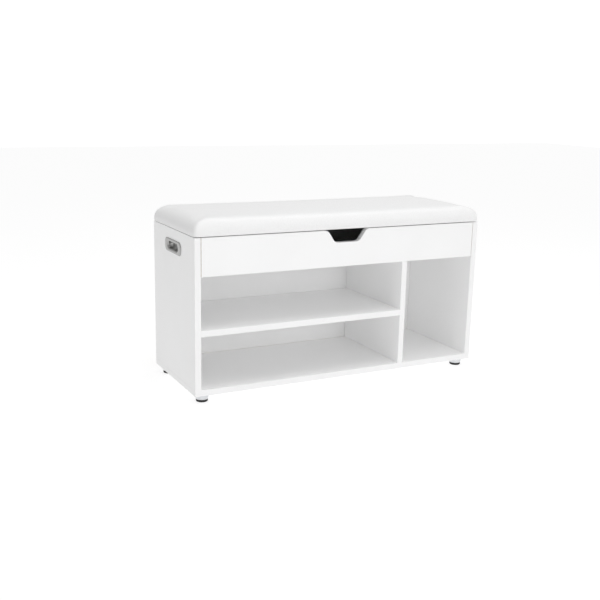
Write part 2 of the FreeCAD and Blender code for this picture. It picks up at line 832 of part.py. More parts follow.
def countersunk(name, length):
    """A countersunk wood screw, head face at 0, pointing up."""
    return turned(
        name,
        [
            ("0", "0"),
            ("leaf_screw", "0"),
            ("leaf_screw / 2 - 0.05", "leaf_thick"),
            ("leaf_screw / 2 - 0.05", f"{length} - 2.5"),
            ("0", length),
        ],
    )


rail_screw = countersunk("rail_screw", "(leaf_thick + 13)")
lid_screw = countersunk("lid_screw", "(leaf_thick + 10)")
group(
    "hinge_screws_cabinet",
    rail_screw,
    [
        Placement(point(f"{x} {step}", LEAF_SCREW_Y, f"{TOP} + leaf_thick"), TURNS["-Z"])
        for _, x in HINGES
        for step in SCREW_STEPS
    ],
)
group(
    "hinge_screws_lid",
    lid_screw,
    [
        Placement(point(f"{x} {step}", LEAF_SCREW_Y, f"{BOARD_BASE} - leaf_thick"), Rotation())
        for _, x in HINGES
        for step in SCREW_STEPS
    ],
)

# ---------------------------------------------------------------- lid stays
# A stay hangs from a pivot under the lid and slides on a stud in the side panel. It turns by a
# constant share of the lid's turn, so its slot follows the path that the stud then takes.
HINGE_POINT = point("0", AXIS_Y, AXIS_Z)
PIVOT_POINT = point("0", PIVOT_Y, PIVOT_Z)
STUD_POINT = point("0", STUD_Y, STUD_Z)
OPENING = math.radians(amount("lid_opening"))
OPEN_AXIS = Vector(-1, 0, 0)


def pivot_at(opening):
    """Where the pivot is when the lid has turned by an angle."""
    turn = Rotation(OPEN_AXIS, math.degrees(opening))
    return HINGE_POINT + turn.multVec(PIVOT_POINT - HINGE_POINT)


def droop(opening):
    """Angle below level, towards the front, of the line from the pivot to the stud."""
    line = STUD_POINT - pivot_at(opening)
    return math.atan2(-line.z, -line.y)


SHUT_DROOP = droop(0)
OPEN_DROOP = droop(OPENING)


def stud_in_stay(opening):
    """The stud seen from a stay that lies level, pivot at the origin, pointing to -Y."""
    tilt = SHUT_DROOP + (OPEN_DROOP - SHUT_DROOP) * opening / OPENING
    line = STUD_POINT - pivot_at(opening)
    return Rotation(OPEN_AXIS, math.degrees(tilt)).multVec(line)


SLOT_STEPS = 12
slot_line = [stud_in_stay(OPENING * step / SLOT_STEPS) for step in range(SLOT_STEPS + 1)]


def band(points, half_width, thick):
    """A flat bar of even width that follows a smooth line in the YZ plane, with round ends."""
    line = Part.BSplineCurve()
    line.interpolate(points)
    sides = []
    for sense in (-1, 1):
        offset = []
        for step in range(SLOT_STEPS + 1):
            share = step / SLOT_STEPS
            where = line.FirstParameter + share * (line.LastParameter - line.FirstParameter)
            ahead = Vector(*line.tangent(where)[0])
            offset.append(line.value(where) + sense * half_width * ahead.cross(Vector(1, 0, 0)))
        side = Part.BSplineCurve()
        side.interpolate(offset)
        sides.append(side)
    first, last = points[0], points[-1]
    start_out = first - half_width * Vector(*line.tangent(line.FirstParameter)[0])
    end_out = last + half_width * Vector(*line.tangent(line.LastParameter)[0])
    end_cap = Part.Arc(sides[0].EndPoint, end_out, sides[1].EndPoint)
    start_cap = Part.Arc(sides[1].StartPoint, start_out, sides[0].StartPoint)
    edges = [sides[0].toShape(), end_cap.toShape(), sides[1].toShape(), start_cap.toShape()]
    return Part.Face(Part.Wire(Part.__sortEdges__(edges))).extrude(Vector(thick, 0, 0))


def stay_shape():
    """The slotted stay lying level, its pivot at the origin and its slot towards -Y."""
    thick = amount("stay_thick")
    half = amount("stay_half")
    across = Vector(1, 0, 0)
    middle = slot_line[SLOT_STEPS // 2 - 1]
    above = Vector(0, 0, half)
    shank_corners = [above, slot_line[0] + above, middle, -above]
    shank = Part.Face(Part.makePolygon(shank_corners + shank_corners[:1])).extrude(across * thick)
    boss = Part.makeCylinder(half, thick, Vector(), across)
    blade = band(slot_line, half, thick).multiFuse([shank, boss])
    slot = band(slot_line, amount("stay_stud / 2 + slot_clear"), thick)
    eye = Part.makeCylinder(amount("stay_stud / 2 + pin_clear"), thick, Vector(), across)
    return blade.cut([slot, eye]).removeSplitter().Solids[0]


for side, sign in SIDES:
    near_face = f"-({INNER} - stay_off)" if sign < 0 else f"({INNER} - stay_off - stay_thick)"
    stay = doc.addObject("Part::Feature", f"stay_{side}")
    stay.Shape = stay_shape()
    stay.Placement = Placement(
        point(near_face, PIVOT_Y, PIVOT_Z), Rotation(Vector(1, 0, 0), math.degrees(SHUT_DROOP))
    )
    sub_part(f"stay_{side}", stay)

# Stud, spacer and pivot rivet along +X, measured inwards from the left panel's face.
STAY_IN = "(stay_off + stay_thick)"
stud_solid = turned(
    "stay_stud_solid",
    [
        ("0", "-11"),
        ("stay_stud / 2", "-11"),
        ("stay_stud / 2", f"{STAY_IN} + 0.3"),
        ("stay_half - 2", f"{STAY_IN} + 0.3"),
        ("stay_half - 3", f"{STAY_IN} + 1.6"),
        ("0", f"{STAY_IN} + 1.6"),
    ],
)
spacer_ring = cut(
    "spacer_ring",
    rod("spacer_blank", ("0", "0", "0"), "+Z", "2 * stay_half - 3", "stay_off - 0.3"),
    [rod("spacer_bore", ("0", "0", "-1"), "+Z", "stay_stud + 2 * pin_clear", "stay_off + 2")],
)
stud_places = [
    Placement(point(f"{sign} * {INNER}", STUD_Y, STUD_Z), TURNS["+X" if sign < 0 else "-X"])
    for _, sign in SIDES
]
group("stay_studs", stud_solid, stud_places)
group("stay_spacers", spacer_ring, stud_places)

BRACKET_NEAR = f"({STAY_IN} + 0.3)"
BRACKET_FAR = f"({STAY_IN} + 0.3 + bracket_thick)"
rivet_solid = turned(
    "rivet_solid",
    [
        ("0", "stay_off - 1.5"),
        ("4", "stay_off - 1.5"),
        ("4", "stay_off - 0.3"),
        ("stay_stud / 2", "stay_off - 0.3"),
        ("stay_stud / 2", BRACKET_FAR),
        ("4", BRACKET_FAR),
        ("3", f"{BRACKET_FAR} + 1"),
        ("0", f"{BRACKET_FAR} + 1"),
    ],
)
pivot_places = [
    Placement(point(f"{sign} * {INNER}", PIVOT_Y, PIVOT_Z), TURNS["+X" if sign < 0 else "-X"])
    for _, sign in SIDES
]
group("stay_rivets", rivet_solid, pivot_places)

BRACKET_HALF = "12"
BRACKET_FLANGE = "16"
BRACKET_SCREW = f"({BRACKET_NEAR} + 10)"


def inward_span(sign, near, far):
    """X limits measured inwards from a side panel's inner face, low one first."""
    ends = (f"{sign} * ({INNER} - ({near}))", f"{sign} * ({INNER} - ({far}))")
    return ends if sign < 0 else ends[::-1]


for side, sign in SIDES:
    y = (f"{PIVOT_Y} - {BRACKET_HALF}", f"{PIVOT_Y} + {BRACKET_HALF}")
    upright = slab(
        f"bracket_upright_{side}",
        inward_span(sign, BRACKET_NEAR, BRACKET_FAR),
        y,
        (f"{PIVOT_Z} - stay_half + 1", SEAT_BASE),
    )
    flange = slab(
        f"bracket_flange_{side}",
        inward_span(sign, BRACKET_NEAR, f"{BRACKET_NEAR} + {BRACKET_FLANGE}"),
        y,
        (f"{SEAT_BASE} - bracket_thick", SEAT_BASE),
    )
    tools = [
        rod(
            f"bracket_eye_{side}",
            (f"{sign} * {INNER}", PIVOT_Y, PIVOT_Z),
            "+X" if sign < 0 else "-X",
            "stay_stud + 2 * pin_clear",
            "20",
        )
    ]
    for step in "-+":
        spot = (f"{sign} * ({INNER} - {BRACKET_SCREW})", f"{PIVOT_Y} {step} 6")
        tools.append(
            rod(f"bracket_hole_{side}_{len(tools)}", (*spot, f"{SEAT_BASE} - 5"), "+Z", "3.2", "10")
        )
        drill("seat_board", (*spot, BOARD_BASE), "+Z", "leaf_screw", "8.2")
        drill("seat_liner", (*spot, SEAT_BASE), "+Z", "3.2", "cover_thick + 1")
    bracket = cut(f"bracket_{side}", fused(f"bracket_body_{side}", [upright, flange]), tools)
    sub_part(f"stay_bracket_{side}", bracket)

pan_screw = turned(
    "pan_screw",
    [
        ("0", "-1.6"),
        ("2", "-1.6"),
        ("2.8", "0"),
        ("leaf_screw / 2 - 0.05", "0"),
        ("leaf_screw / 2 - 0.05", "8"),
        ("0", "10"),
    ],
)
group(
    "stay_screws",
    pan_screw,
    [
        Placement(
            point(
                f"{sign} * ({INNER} - {BRACKET_SCREW})",
                f"{PIVOT_Y} {step} 6",
                f"{SEAT_BASE} - bracket_thick",
            ),
            Rotation(),
        )
        for _, sign in SIDES
        for step in "-+"
    ],
)

# ---------------------------------------------------------------- bumpers on the side panels
bumper_solid = turned(
    "bumper_solid",
    [
        ("0", "0"),
        ("bumper_diameter / 2", "0"),
        ("bumper_diameter / 2", "lid_gap - 1"),
        ("bumper_diameter / 2 - 1", "lid_gap - 0.1"),
        ("0", "lid_gap - 0.1"),
    ],
)
group(
    "lid_bumpers",
    bumper_solid,
    [
        Placement(point(f"{sign} * ({HALF} - board_thick / 2)", y, TOP), Rotation())
        for _, sign in SIDES
        for y in (f"({FRONT} + 30)", f"({REAR} - 70)")
    ],
)


# ---------------------------------------------------------------- seat
def crowned(name, inset, base, rise_to, corner):
    """A block with rounded upright corners whose top is arched both ways."""
    x = (f"-overall_width / 2 + {inset}", f"overall_width / 2 - {inset}")
    y = (f"{SEAT_FRONT} + {inset}", f"{SEAT_REAR} - {inset}")
    box = slab(name + "_box", x, y, (base, rise_to))
    block = rounded(name + "_round", box, Vector(0, 0, 1), corner)
    arches = []
    middle = f"(({y[0]} + {y[1]}) / 2)"
    for way, (low, high), across in (("+Y", x, "0"), ("+X", y, middle)):
        span = f"(({high}) - ({low}))"
        radius = f"({span}^2 / (8 * seat_crown) + seat_crown / 2)"
        reach = "(2 * overall_width)"
        start = {
            "+Y": (across, f"-{reach} / 2", f"{rise_to} - {radius}"),
            "+X": (f"-{reach} / 2", across, f"{rise_to} - {radius}"),
        }[way]
        arches.append(rod(f"{name}_arch_{len(arches)}", start, way, f"2 * {radius}", reach))
    return common(name, [block] + arches)


UNDER_COVER = ("(overall_height - cover_thick)", "seat_corner - cover_thick")
sub_part("seat_foam", crowned("foam_block", "cover_thick", FOAM_BASE, *UNDER_COVER))

board_x = ("-overall_width / 2 + cover_thick", "overall_width / 2 - cover_thick")
board_y = (f"{SEAT_FRONT} + cover_thick", f"{SEAT_REAR} - cover_thick")
seat_blank = slab("seat_blank", board_x, board_y, (BOARD_BASE, FOAM_BASE))
seat_rounded = rounded("seat_rounded", seat_blank, Vector(0, 0, 1), "seat_corner - cover_thick")
drilled("seat_board", seat_rounded)

cover_outer = crowned("cover_outer", "0", SEAT_BASE, "overall_height", "seat_corner")
cover_inner = crowned("cover_inner", "cover_thick", BOARD_BASE, *UNDER_COVER)
cover_window = slab(
    "cover_window",
    ("-overall_width / 2 + cover_margin", "overall_width / 2 - cover_margin"),
    (f"{SEAT_FRONT} + cover_margin", f"{SEAT_REAR} - cover_margin"),
    (f"{SEAT_BASE} - 1", f"{BOARD_BASE} + 1"),
)
hinge_windows = [
    slab(
        f"hinge_window_{side}",
        (f"{x} - hinge_length / 2 - 0.5", f"{x} + hinge_length / 2 + 0.5"),
        (f"{LEAF_FRONT} - 0.5", f"{SEAT_REAR} + 1"),
        (f"{SEAT_BASE} - 1", BOARD_BASE),
    )
    for side, x in HINGES
]
sub_part(
    "seat_cover",
    cut("cover_shell", cover_outer, [cover_inner, cover_window] + hinge_windows),
)

liner_sheet = slab(
    "liner_sheet",
    ("-overall_width / 2 + cover_margin + 0.5", "overall_width / 2 - cover_margin - 0.5"),
    (f"{SEAT_FRONT} + cover_margin + 0.5", f"{SEAT_REAR} - cover_margin - 0.5"),
    (f"{BOARD_BASE} - liner_thick", BOARD_BASE),
)
drilled("seat_liner", liner_sheet)

# Staples in the cover's folded margin: along the front and back, and across the ends.
STAPLE_LINE = 18
staple_solid = slab("staple_solid", ("-5", "5"), ("-0.35", "0.35"), ("-0.5", "0"))
staple_places = []
half_width = amount("overall_width / 2") - STAPLE_LINE
front_line = amount(SEAT_FRONT) + STAPLE_LINE
rear_line = amount(SEAT_REAR) - STAPLE_LINE
staple_height = amount(SEAT_BASE)
hinge_zone = amount("hinge_length / 2") + 12
along = 16
for number in range(along):
    x = -half_width + (number + 0.5) * 2 * half_width / along
    staple_places.append(Placement(Vector(x, front_line, staple_height), Rotation()))
    if abs(abs(x) - amount("hinge_place")) > hinge_zone:
        staple_places.append(Placement(Vector(x, rear_line, staple_height), Rotation()))
quarter = Rotation(Vector(0, 0, 1), 90)
across = 6
for number in range(across):
    y = front_line + (number + 0.5) * (rear_line - front_line) / across
    for x in (-half_width, half_width):
        staple_places.append(Placement(Vector(x, y, staple_height), quarter))
group("seat_staples", staple_solid, staple_places)

# ---------------------------------------------------------------- check, then write
doc.recompute()
for thing in doc.Objects:
    if "Invalid" in thing.State or "Error" in thing.State:
        raise RuntimeError(f"{thing.Name} failed: {thing.State}")
os.makedirs("parts", exist_ok=True)
for thing in sub_parts:
    if thing.Shape.isNull() or not thing.Shape.isValid():
        raise RuntimeError(f"{thing.Label} has no valid shape")
for thing in sub_parts:
    thing.Shape.exportStep(f"parts/{thing.Label}.step")
print(len(sub_parts), "sub-parts written")
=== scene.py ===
"""White flat-pack entryway bench with a padded lift-up seat, flush side handles and levelling feet."""

import math

import bmesh
import bpy
from mathutils import Matrix, Vector, noise


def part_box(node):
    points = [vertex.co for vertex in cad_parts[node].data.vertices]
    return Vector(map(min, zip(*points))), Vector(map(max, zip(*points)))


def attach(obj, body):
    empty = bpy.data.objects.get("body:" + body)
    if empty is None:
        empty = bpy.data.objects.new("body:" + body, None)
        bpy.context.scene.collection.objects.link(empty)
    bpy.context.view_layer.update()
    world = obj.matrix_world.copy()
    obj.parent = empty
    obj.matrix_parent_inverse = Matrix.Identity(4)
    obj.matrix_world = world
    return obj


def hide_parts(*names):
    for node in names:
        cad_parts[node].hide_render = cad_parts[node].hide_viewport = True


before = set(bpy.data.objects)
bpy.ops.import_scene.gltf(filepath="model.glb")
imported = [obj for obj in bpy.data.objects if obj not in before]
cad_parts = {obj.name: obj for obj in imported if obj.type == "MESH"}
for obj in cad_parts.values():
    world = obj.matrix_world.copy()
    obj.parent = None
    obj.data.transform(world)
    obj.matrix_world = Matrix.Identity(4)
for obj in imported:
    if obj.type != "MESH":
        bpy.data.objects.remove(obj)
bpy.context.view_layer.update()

MM = 0.001
CORNERS = ("front_left", "front_right", "back_left", "back_right")
SIDES = (("left", -1), ("right", 1))
scene = bpy.context.scene


# ---------------------------------------------------------------- colours and nodes
def linear(code):
    """A #RRGGBB paint code as linear light."""
    steps = [int(code[place : place + 2], 16) / 255 for place in (1, 3, 5)]
    return [s / 12.92 if s <= 0.04045 else ((s + 0.055) / 1.055) ** 2.4 for s in steps] + [1.0]


def add(tree, kind, feeds=None, **settings):
    """Adds one node with its own settings. Feeds are its inputs: values, or outputs to link."""
    made = tree.nodes.new(kind)
    for name, value in settings.items():
        setattr(made, name, value)
    for key, value in (feeds or {}).items():
        inlet = next((s for s in made.inputs if s.identifier == key), None) or made.inputs[key]
        if isinstance(value, bpy.types.NodeSocket):
            tree.links.new(value, inlet)
        else:
            inlet.default_value = value
    return made


def stock(name, colour, roughness, **sockets):
    """A new material of one colour and gloss, with its nodes, shader and place for more detail."""
    material = bpy.data.materials.new(name)
    material.use_nodes = True
    tree = material.node_tree
    shader = tree.nodes["Principled BSDF"]
    shader.inputs["Base Color"].default_value = linear(colour)
    shader.inputs["Roughness"].default_value = roughness
    for key, value in sockets.items():
        shader.inputs[key.replace("_", " ")].default_value = value
    return material, tree, shader, add(tree, "ShaderNodeTexCoord").outputs["Object"]


def clouded(tree, place, size, low, high, stretch=(1, 1, 1), detail=3.0):
    """A value that drifts from low to high over patches of a real size in metres."""
    spread = add(
        tree, "ShaderNodeMapping", {"Vector": place, "Scale": [1 / (size * s) for s in stretch]}
    )
    cloud = add(
        tree, "ShaderNodeTexNoise", {"Vector": spread.outputs[0], "Scale": 1.0, "Detail": detail}
    )
    feeds = {"Value": cloud.outputs[0], "From Min": 0.3, "From Max": 0.7}
    return add(tree, "ShaderNodeMapRange", {**feeds, "To Min": low, "To Max": high}).outputs[0]


def two_tone(tree, share, first, second):
    """The first colour where share is 0, the second where it is 1."""
    feeds = {"Factor_Float": share, "A_Color": linear(first), "B_Color": linear(second)}
    return add(tree, "ShaderNodeMix", feeds, data_type="RGBA").outputs[2]


def relief(tree, shader, height, depth):
    """Raises the surface by depth metres where height is 1."""
    bump = add(tree, "ShaderNodeBump", {"Height": height, "Distance": depth, "Strength": 1.0})
    tree.links.new(bump.outputs["Normal"], shader.inputs["Normal"])


def feed(tree, shader, **outputs):
    """Links outputs to the shader's named inputs."""
    for key, output in outputs.items():
        tree.links.new(output, shader.inputs[key.replace("_", " ")])


# ---------------------------------------------------------------- finishes
def pressed_melamine():
    """Melamine paper pressed on chipboard with a fine pearl plate: an even, satin white."""
    material, tree, shader, place = stock("pressed_white_melamine", "#F7F7F7", 0.4)
    drift = clouded(tree, place, 160 * MM, 0.0, 1.0)
    pearl = clouded(tree, place, 1.6 * MM, 0.0, 1.0)  # real pearl is 0.4 mm, drawn coarser to show
    feed(
        tree,
        shader,
        Base_Color=two_tone(tree, drift, "#F6F6F6", "#F9F9F9"),
        Roughness=clouded(tree, place, 3 * MM, 0.36, 0.46),
    )
    relief(tree, shader, pearl, 0.012 * MM)
    return material


def extruded_edge_band():
    """Extruded ABS edge band, glued and scraped flush: glossier than the faces, faintly combed."""
    material, tree, shader, place = stock("extruded_abs_edge_band", "#F5F5F5", 0.32)
    combed = clouded(tree, place, 0.8 * MM, 0.0, 1.0, stretch=(40, 1, 1))
    drift = clouded(tree, place, 90 * MM, 0.0, 1.0)
    feed(
        tree,
        shader,
        Base_Color=two_tone(tree, drift, "#F4F4F4", "#F7F7F7"),
        Roughness=clouded(tree, place, 6 * MM, 0.28, 0.38),
    )
    relief(tree, shader, combed, 0.008 * MM)
    return material


def bare_chipboard():
    """Sawn chipboard: tan flakes and dust of mixed tone, open and dull."""
    material, tree, shader, place = stock("sawn_chipboard", "#C2A37A", 0.85)
    flakes = add(tree, "ShaderNodeTexVoronoi", {"Vector": place, "Scale": 1 / (3.5 * MM)})
    shade = add(tree, "ShaderNodeSeparateColor", {"Color": flakes.outputs["Color"]})
    feed(tree, shader, Base_Color=two_tone(tree, shade.outputs[0], "#A98A60", "#D8BE97"))
    relief(tree, shader, clouded(tree, place, 1.2 * MM, 0.0, 1.0), 0.15 * MM)
    return material


def lacquered_hardboard():
    """Wet-process hardboard, lacquered white on its smooth face: duller than the melamine."""
    material, tree, shader, place = stock("lacquered_white_hardboard", "#EFEFEE", 0.5)
    drift = clouded(tree, place, 120 * MM, 0.0, 1.0)
    feed(
        tree,
        shader,
        Base_Color=two_tone(tree, drift, "#F4F4F4", "#F7F7F7"),
        Roughness=clouded(tree, place, 8 * MM, 0.44, 0.56),
    )
    relief(tree, shader, clouded(tree, place, 5 * MM, 0.0, 1.0), 0.03 * MM)
    return material


def screen_backed_hardboard():
    """The hardboard's rough back: brown fibre with the square print of its pressing mesh."""
    material, tree, shader, place = stock("screen_backed_hardboard", "#8A6A48", 0.8)
    pitch = 2.0 * MM  # real mesh print is 1.2 mm, drawn coarser to show
    waves = [
        add(
            tree,
            "ShaderNodeTexWave",
            {"Vector": place, "Scale": 0.314 / pitch, "Distortion": 0.4},
            bands_direction=way,
        ).outputs["Fac"]
        for way in ("X", "Z")
    ]
    print_depth = add(tree, "ShaderNodeMath", {0: waves[0], 1: waves[1]}, operation="MULTIPLY")
    fibre = clouded(tree, place, 2.5 * MM, 0.0, 1.0, stretch=(3, 1, 1), detail=6.0)
    feed(tree, shader, Base_Color=two_tone(tree, fibre, "#8A6B4A", "#9E7E5A"))
    relief(tree, shader, print_depth.outputs[0], 0.12 * MM)
    return material


def coated_faux_leather():
    """White polyurethane-coated cloth, embossed with a fine pebble grain, its valleys darkened by
    painted shade: a soft low gloss.
    """
    material, tree, shader, place = stock(
        "embossed_white_faux_leather", "#F2F2F2", 0.5, Sheen_Weight=0.08, Sheen_Roughness=0.5
    )
    wander = add(tree, "ShaderNodeTexNoise", {"Vector": place, "Scale": 1 / (6 * MM)})
    bent = add(
        tree,
        "ShaderNodeVectorMath",
        {0: wander.outputs["Color"], 1: [0.5 * MM] * 3, 2: place},
        operation="MULTIPLY_ADD",
    )
    grain = add(  # real pebbles are 0.9 mm, drawn coarser to show
        tree,
        "ShaderNodeTexVoronoi",
        {"Vector": bent.outputs[0], "Scale": 1 / (1.8 * MM)},
        feature="DISTANCE_TO_EDGE",
    )
    pebble = add(
        tree, "ShaderNodeMapRange", {"Value": grain.outputs["Distance"], "From Max": 0.22}
    )
    # painted shade: the colour darkens towards the valleys between the pebbles, where shade falls
    valley_painted_shade = two_tone(tree, pebble.outputs[0], "#EAEAEA", "#F5F5F5")
    drift = clouded(tree, place, 70 * MM, 0.0, 0.35)
    tinted = add(
        tree,
        "ShaderNodeMix",
        {"Factor_Float": drift, "A_Color": valley_painted_shade, "B_Color": linear("#EFEFEF")},
        data_type="RGBA",
    )
    feed(
        tree,
        shader,
        Base_Color=tinted.outputs[2],
        Roughness=clouded(tree, place, 25 * MM, 0.44, 0.56),
    )
    relief(tree, shader, pebble.outputs[0], 0.05 * MM)
    return material


def bonded_lining():
    """Black spunbonded polypropylene: matt felted threads, pinned by a grid of small melted dots."""
    material, tree, shader, place = stock("spunbonded_black_lining", "#1B1B1C", 0.9)
    spacing = 3.0 * MM  # real bond dots are 1.6 mm apart, drawn coarser to show
    dots = add(
        tree, "ShaderNodeTexVoronoi", {"Vector": place, "Scale": 1 / spacing, "Randomness": 0.0}
    )
    bond = add(
        tree,
        "ShaderNodeMapRange",
        {"Value": dots.outputs["Distance"], "From Min": 0.2, "From Max": 0.34},
    )
    threads = clouded(tree, place, 0.8 * MM, 0.0, 1.0, stretch=(5, 1, 1), detail=5.0)
    feed(
        tree,
        shader,
        Base_Color=two_tone(tree, threads, "#141415", "#262628"),
        Roughness=add(
            tree, "ShaderNodeMapRange", {"Value": bond.outputs[0], "To Min": 0.5, "To Max": 0.95}
        ).outputs[0],
    )
    relief(tree, shader, bond.outputs[0], 0.12 * MM)
    return material


def metal(name, colour, roughness, wear, size=4 * MM, stretch=(1, 1, 1)):
    """A metal whose gloss drifts by wear over patches of a size; stretched, they are brush lines."""
    material, tree, shader, place = stock(name, colour, roughness, Metallic=1.0)
    lines = clouded(tree, place, size, 0.0, 1.0, stretch=stretch)
    feed(
        tree,
        shader,
        Roughness=clouded(tree, place, size, roughness - wear, roughness + wear, stretch=stretch),
    )
    relief(tree, shader, lines, 0.004 * MM)
    return material, tree, shader, place


def satin_nickel():
    """Die-cast zinc with satin nickel plate: warm grey, brushed along its length, softly bright."""
    brushed = metal(
        "satin_nickel_plate", "#ABABAA", 0.3, 0.06, size=0.5 * MM, stretch=(1, 40, 1)
    )
    return brushed[0]


def bright_chrome():
    """Deep-drawn steel with bright chrome plate: a near mirror, faintly hazed by polishing."""
    material, tree, shader, place = metal("bright_chrome_plate", "#DADBDD", 0.07, 0.03)
    haze = clouded(tree, place, 12 * MM, 0.0, 1.0)
    feed(tree, shader, Base_Color=two_tone(tree, haze, "#D4D6D9", "#DFE0E2"))
    return material


def zinc_plate():
    """Blue-passivated zinc plate on steel: silvery, with faint spangle of tone and gloss."""
    material, tree, shader, place = metal("blue_passivated_zinc_plate", "#B9BDC2", 0.34, 0.08)
    spangle = add(tree, "ShaderNodeTexVoronoi", {"Vector": place, "Scale": 1 / (2.5 * MM)})
    shade = add(tree, "ShaderNodeSeparateColor", {"Color": spangle.outputs["Color"]})
    feed(tree, shader, Base_Color=two_tone(tree, shade.outputs[0], "#AEB3B9", "#C6C9CC"))
    return material


def cast_zinc():
    """Die-cast zinc straight from the mould: dull grey with a mottled skin."""
    material, tree, shader, place = metal("die_cast_zinc", "#9FA1A2", 0.5, 0.1)
    mottle = clouded(tree, place, 2 * MM, 0.0, 1.0)
    feed(tree, shader, Base_Color=two_tone(tree, mottle, "#8E9091", "#ADAFB0"))
    return material


def plastic(name, dark, light, roughness, grit):
    """A moulded plastic or rubber: two close tones and a spark-eroded skin of a real grit size."""
    material, tree, shader, place = stock(name, light, roughness)
    feed(
        tree,
        shader,
        Base_Color=two_tone(tree, clouded(tree, place, 6 * MM, 0.0, 1.0), dark, light),
        Roughness=clouded(tree, place, 2 * MM, roughness - 0.06, roughness + 0.06),
    )
    relief(tree, shader, clouded(tree, place, grit, 0.0, 1.0), 0.02 * MM)
    return material, tree, shader, place


def black_polypropylene():
    """Injection-moulded black polypropylene: deep, with a fine dull texture."""
    return plastic("moulded_black_polypropylene", "#0D0D0D", "#181818", 0.55, 0.5 * MM)[0]


def natural_nylon():
    """Moulded nylon left its own milky colour."""
    return plastic("moulded_natural_nylon", "#E6E4DC", "#F0EEE8", 0.4, 0.6 * MM)[0]


def clear_bumper_rubber():
    """Cast clear polyurethane: a soft water-clear drop that shows the board below."""
    material, _, shader, _ = plastic("cast_clear_polyurethane", "#E9EAEA", "#F4F5F5", 0.2, 1 * MM)
    shader.inputs["Transmission Weight"].default_value = 0.6
    shader.inputs["IOR"].default_value = 1.5
    return material


def fluted_beech():
    """Compressed beech dowel: pale pinkish brown with short dark rays along the grain."""
    material, tree, shader, place = stock("compressed_beech", "#CFA97C", 0.6)
    rays = clouded(tree, place, 0.9 * MM, 0.0, 1.0, stretch=(8, 1, 1), detail=5.0)
    feed(tree, shader, Base_Color=two_tone(tree, rays, "#B98F61", "#DDBD93"))
    relief(tree, shader, rays, 0.05 * MM)
    return material


MELAMINE = pressed_melamine()
EDGE_BAND = extruded_edge_band()
CHIPBOARD = bare_chipboard()
HARDBOARD_FACE = lacquered_hardboard()
HARDBOARD_BACK = screen_backed_hardboard()
FAUX_LEATHER = coated_faux_leather()
LINING = bonded_lining()
NICKEL = satin_nickel()
CHROME = bright_chrome()
ZINC = zinc_plate()
CAST_ZINC = cast_zinc()
BLACK_PLASTIC = black_polypropylene()
NYLON = natural_nylon()
CLEAR_RUBBER = clear_bumper_rubber()
BEECH = fluted_beech()


# ---------------------------------------------------------------- making and placing pieces
def piece_of(name, body, mesh, materials, soften=35):
    """A piece from a finished bmesh, smooth-shaded up to an angle in degrees."""
    bmesh.ops.recalc_face_normals(mesh, faces=mesh.faces)
    data = bpy.data.meshes.new(name)
    mesh.to_mesh(data)
    mesh.free()
    for material in materials:
        data.materials.append(material)
    data.shade_smooth()
    data.set_sharp_from_angle(angle=math.radians(soften))
    piece = bpy.data.objects.new(name, data)
    scene.collection.objects.link(piece)
    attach(piece, body)
    return piece


def stands_for(piece, slot, *nodes):
    """The piece is shown in place of CAD nodes, which are hidden; the slot argument is not used."""
    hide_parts(*nodes)
    return piece


def clothe(node, material):
    """Gives a CAD node that keeps its own shape a finish."""
    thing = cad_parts[node]
    thing.data.materials.clear()
    thing.data.materials.append(material)


def merged_copy(node):
    """A CAD node's mesh with its loose triangles joined up and its flat faces made whole."""
    mesh = bmesh.new()
    mesh.from_mesh(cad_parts[node].data)
    bmesh.ops.remove_doubles(mesh, verts=mesh.verts, dist=0.002 * MM)
    bmesh.ops.dissolve_limit(
        mesh, angle_limit=math.radians(0.8), verts=mesh.verts, edges=mesh.edges
    )
    return mesh


def ease(mesh, width, longest_kept, steps=2):
    """Rounds over every sharp edge that is longer than a length."""
    sharp = [
        edge
        for edge in mesh.edges
        if edge.is_manifold
        and edge.calc_face_angle(0) > math.radians(35)
        and edge.calc_length() > longest_kept
    ]
    bmesh.ops.bevel(
        mesh,
        geom=sharp,
        offset=width,
        segments=steps,
        profile=0.5,
        affect="EDGES",
        clamp_overlap=True,
    )


def level_normals(piece):
    """Keeps big flat faces evenly lit beside their rounded edges."""
    even = piece.modifiers.new("even_faces", "WEIGHTED_NORMAL")
    even.keep_sharp = True
    even.weight = 100


def solids(node):
    """The box of each separate solid of a CAD node."""
    mesh = merged_copy(node)
    waiting = set(mesh.verts)
    boxes = []
    while waiting:
        reached = [waiting.pop()]
        group = []
        while reached:
            vertex = reached.pop()
            group.append(vertex.co.copy())
            for edge in vertex.link_edges:
                other = edge.other_vert(vertex)
                if other in waiting:
                    waiting.remove(other)
                    reached.append(other)
        low = Vector(min(p[a] for p in group) for a in range(3))
        high = Vector(max(p[a] for p in group) for a in range(3))
        boxes.append((low, high))
    mesh.free()
    return sorted(boxes, key=lambda box: tuple(box[0]))


def skin(mesh, rings, closed_start=True, closed_end=True):
    """Joins rings of equally many points into a surface, with its ends closed to their middles."""
    rows = [[mesh.verts.new(point) for point in ring] for ring in rings]
    count = len(rows[0])
    for first, second in zip(rows, rows[1:]):
        for number in range(count):
            after = (number + 1) % count
            mesh.faces.new((first[number], first[after], second[after], second[number]))
    for row, wanted in ((rows[0], closed_start), (rows[-1], closed_end)):
        if wanted:
            middle = mesh.verts.new(sum((v.co for v in row), Vector()) / count)
            for number in range(count):
                mesh.faces.new((row[number], row[(number + 1) % count], middle))
    return rows


def soft_rectangle(half_length, half_width, radius, steps=8):
    """Points round a rectangle with rounded corners, as pairs."""
    radius = min(radius, half_length, half_width)
    points = []
    for quarter, (u, v) in enumerate(((1, 1), (-1, 1), (-1, -1), (1, -1))):
        for step in range(steps + 1):
            angle = math.pi / 2 * (quarter + step / steps)
            points.append(
                (
                    u * (half_length - radius) + radius * math.cos(angle),
                    v * (half_width - radius) + radius * math.sin(angle),
                )
            )
    return points


def circle(radius, height, steps=48):
    """A ring of points about Z."""
    turns = [2 * math.pi * step / steps for step in range(steps)]
    return [Vector((radius * math.cos(a), radius * math.sin(a), height)) for a in turns]


